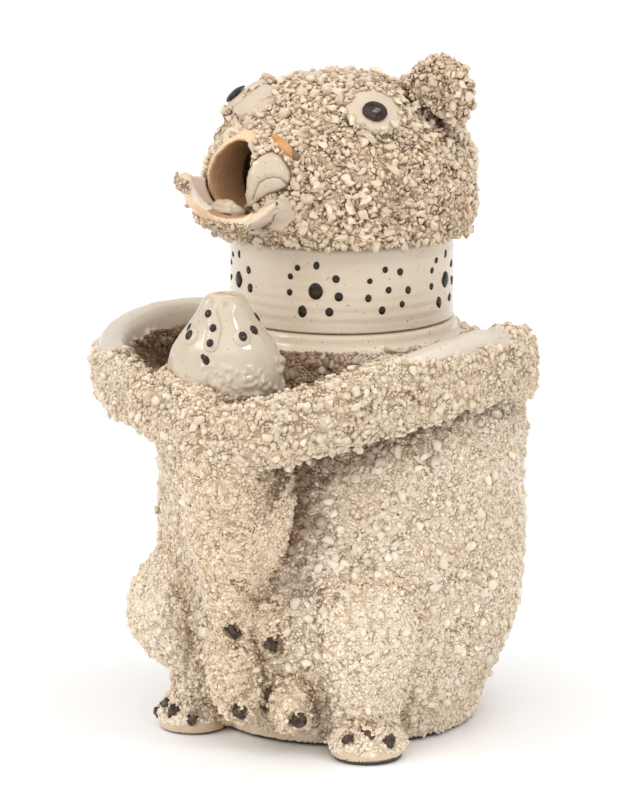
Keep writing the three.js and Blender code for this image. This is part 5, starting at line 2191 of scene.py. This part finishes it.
        def rule(points: Rows, normals: Rows) -> Rows:
            """Tell where crumbs lap over this eye."""
            spots = self.sight.pixel(points)
            low = 1.18 * spots[:, 0] + spots[:, 1] + 5 * grain(points, 4, 123)
            covered = (low > 421) & (spots[:, 0] < 290)
            covered |= off_axis(points) > edge * (0.9 + 0.14 * grain(points, 3, 124))
            return covered & ~self.frame.near(points, ("left_pupil", "right_pupil"), 1.2 * MM)

        return rule


@dataclass
class Mouth:
    """What lies about the mouth: the glazed fold beside it, the jaw's rolled edge, a broken edge and glaze beads."""

    frame: Frame
    palette: Palette
    sight: Sight
    crease: Pixels = (
        (253, 199), (256, 190), (259, 183), (266, 178.5), (274, 177), (281, 178.5), (287, 184),
    )
    burnt: float = 292.0
    jaw_edge: Pixels = (
        (221, 231), (236, 226), (249, 219.5), (258, 211.5), (265, 204), (271, 194),
    )
    beads: tuple[tuple[float, float, float], ...] = ((262.0, 152.5, 1.3), (277.0, 151.5, 1.0), (256.5, 164.5, 1.4))

    def build(self) -> None:
        """Lay the clay and glaze about the mouth."""
        palette = self.palette
        tree = Shell.taken(self.frame.refined(("head_shell",), "head_plain", 0.9 * MM, 7)).tree()
        fold = Slab(self.sight, tree, MOUTH_FOLD).mesh("mouth_fold", self.fold_height)
        # painted shade in the fold's crease, and a brown line along the mouth
        paint_faces(fold, [(1, self.fold_line)], *face_centres(fold))
        add_piece(fold, Body.COVER, Slot.GLAZE, [palette.shaded_fold_glaze, palette.wash_and_shade])
        mound = Slab(self.sight, tree, EYE_MOUND).mesh("right_eye_mound", self.mound_height)
        add_piece(mound, Body.COVER, Slot.GLAZE, [palette.eye_glaze])
        chip = Slab(self.sight, tree, BROW_CHIP).mesh("brow_chip", self.chip_height)
        paint_faces(chip, [(1, self.chip_burnt)], *face_centres(chip))
        add_piece(chip, Body.COVER, Slot.GLAZE, [palette.scar, palette.wash_and_shade])
        beads = Beads(0.8)
        for across, down, size in self.beads:
            beads.add(*self.sight.hit(tree, across, down), Dot(size, 0.85 * size, 30), 0.5)
        beads.piece("mouth_beads", Body.COVER, Slot.GLAZE, palette.glaze)
        jaw = self.frame.trees["lower_jaw"]
        corners = np.array([self.sight.hit(jaw, across, down)[0] for across, down in self.jaw_edge])
        line = eased(corners, 30)
        radii = 1.2 * MM * np.sqrt(np.sin(np.linspace(0.08, math.pi - 0.08, len(line))))
        mesh = roll("jaw_roll", line, radii)
        roughen(mesh, everywhere, ((3, 0.25),), 151)
        add_piece(mesh, Body.COVER, Slot.GLAZE, [palette.rim])

    def fold_height(self, spots: Rows, inset: Rows) -> Rows:
        """Height of the glazed fold over the head, in millimetres."""
        swell = np.interp(inset, (-0.8, 0, 2, 6, 12), (-0.6, 0, 0.9, 1.5, 1.7))
        return swell - 0.9 * np.exp(-((line_gap(spots, np.array(self.crease)) / 1.8) ** 2))

    def fold_line(self, points: Rows, normals: Rows) -> Rows:
        """Tell where the fold is painted dark: painted shade in its crease, and a brown line along the mouth's edge.
        """
        spots = self.sight.pixel(points)
        edge = (inset_of(spots, MOUTH_FOLD) < 0.6) & (spots[:, 0] < 254)
        return edge | (line_gap(spots, np.array(self.crease)) < 0.45)

    def mound_height(self, spots: Rows, inset: Rows) -> Rows:
        """Height of the clay below the right eye over the head, in millimetres."""
        return np.interp(inset, (-0.8, 0, 2, 6, 12), (-0.8, 0, 1.2, 2.2, 2.6))

    def chip_height(self, spots: Rows, inset: Rows) -> Rows:
        """Height of the broken edge over the head, in millimetres."""
        return np.interp(inset, (-0.8, 0, 1.5, 5), (-0.6, 0.2, 1.5, 1.9))

    def chip_burnt(self, points: Rows, normals: Rows) -> Rows:
        """Tell where the broken edge is burnt dark."""
        return self.sight.pixel(points)[:, 0] > self.burnt


@dataclass(frozen=True)
class Sun:
    """An even light from one side: its bearing round the jug, its height over the floor and its width, in degrees."""

    name: str
    bearing: float
    height: float
    strength: float
    softness: float

    def hang(self) -> None:
        """Add the light to the scene."""
        light = bpy.data.lights.new(self.name, "SUN")
        light.energy = self.strength
        light.angle = math.radians(self.softness)
        lamp = placed(self.name, light)
        lamp.rotation_euler = (math.radians(90 - self.height), 0, math.radians(self.bearing))


@dataclass(frozen=True)
class Panel:
    """A square light that gives the glaze its bright marks: its bearing in degrees and its place in metres."""

    name: str
    bearing: float
    distance: float
    height: float
    side: float
    power: float
    aim: float = 0.15

    def hang(self) -> None:
        """Add the light to the scene, turned towards the jug."""
        light = bpy.data.lights.new(self.name, "AREA")
        light.size = self.side
        light.energy = self.power
        lamp = placed(self.name, light)
        angle = math.radians(self.bearing)
        lamp.location = (self.distance * math.sin(angle), -self.distance * math.cos(angle), self.height)
        way = Vector((0, 0, self.aim)) - lamp.location
        lamp.rotation_euler = way.to_track_quat("-Z", "Y").to_euler()


@dataclass
class Studio:
    """Pale floor and soft light."""

    lights: tuple[Sun | Panel, ...] = (
        Sun("key", -10, 55, 1.2, 95),
        Sun("fill", 90, 45, 0.45, 90),
        Panel("panel", -30, 1.3, 0.95, 0.4, 3),
        Panel("spark", 82, 1.1, 1.1, 0.14, 1.6),
        Panel("top_spark", 115, 0.39, 1.37, 0.2, 1.2),
    )
    floor_half: float = 8.0
    floor_drop: float = 0.2 * MM
    sky_strength: float = 0.72

    def floor(self) -> None:
        """Lay the floor, just under the jug."""
        sheet = NodeSheet("pale_floor")
        sheet.paint(sheet.ramp(sheet.noise(2), [(0.3, Tint(250, 250, 250)), (0.7, Tint(252, 252, 252))]))
        sheet.fix(Roughness=0.7)
        mesh = bpy.data.meshes.new("floor")
        half = self.floor_half
        mesh.from_pydata([(-half, -half, 0), (half, -half, 0), (half, half, 0), (-half, half, 0)], [], [(0, 1, 2, 3)])
        mesh.materials.append(sheet.material)
        floor = placed("floor", mesh)
        floor.location.z = -self.floor_drop
        floor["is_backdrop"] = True

    def build(self) -> None:
        """Make the floor, the sky and the lights."""
        self.floor()
        world = bpy.data.worlds.new("studio")
        world.use_nodes = True
        sky = world.node_tree.nodes["Background"]
        sky.inputs["Color"].default_value = (1.0, 1.0, 1.0, 1.0)
        sky.inputs["Strength"].default_value = self.sky_strength
        bpy.context.scene.world = world
        for light in self.lights:
            light.hang()
        bpy.context.scene.view_settings.view_transform = "Standard"


def main() -> None:
    """Build the dressed jug."""
    logging.basicConfig(level=logging.INFO)
    frame = Frame()
    sight = Sight()
    sight.camera()
    palette = Palette()
    Pot(frame, palette).build()
    Arms(frame, palette).build()
    Limbs(frame, palette).build()
    Luting(frame, palette).build()
    Dog(frame, palette, sight).build()
    Claws(frame, palette).build()
    Collar(palette).build()
    Head(frame, palette, sight).build()
    Mouth(frame, palette, sight).build()
    Studio().build()
    boxes = {"cad": frame.box, "visual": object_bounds()}
    {name: [list(corner) for corner in box] for name, box in boxes.items()}


if __name__ == "__main__":
    main()
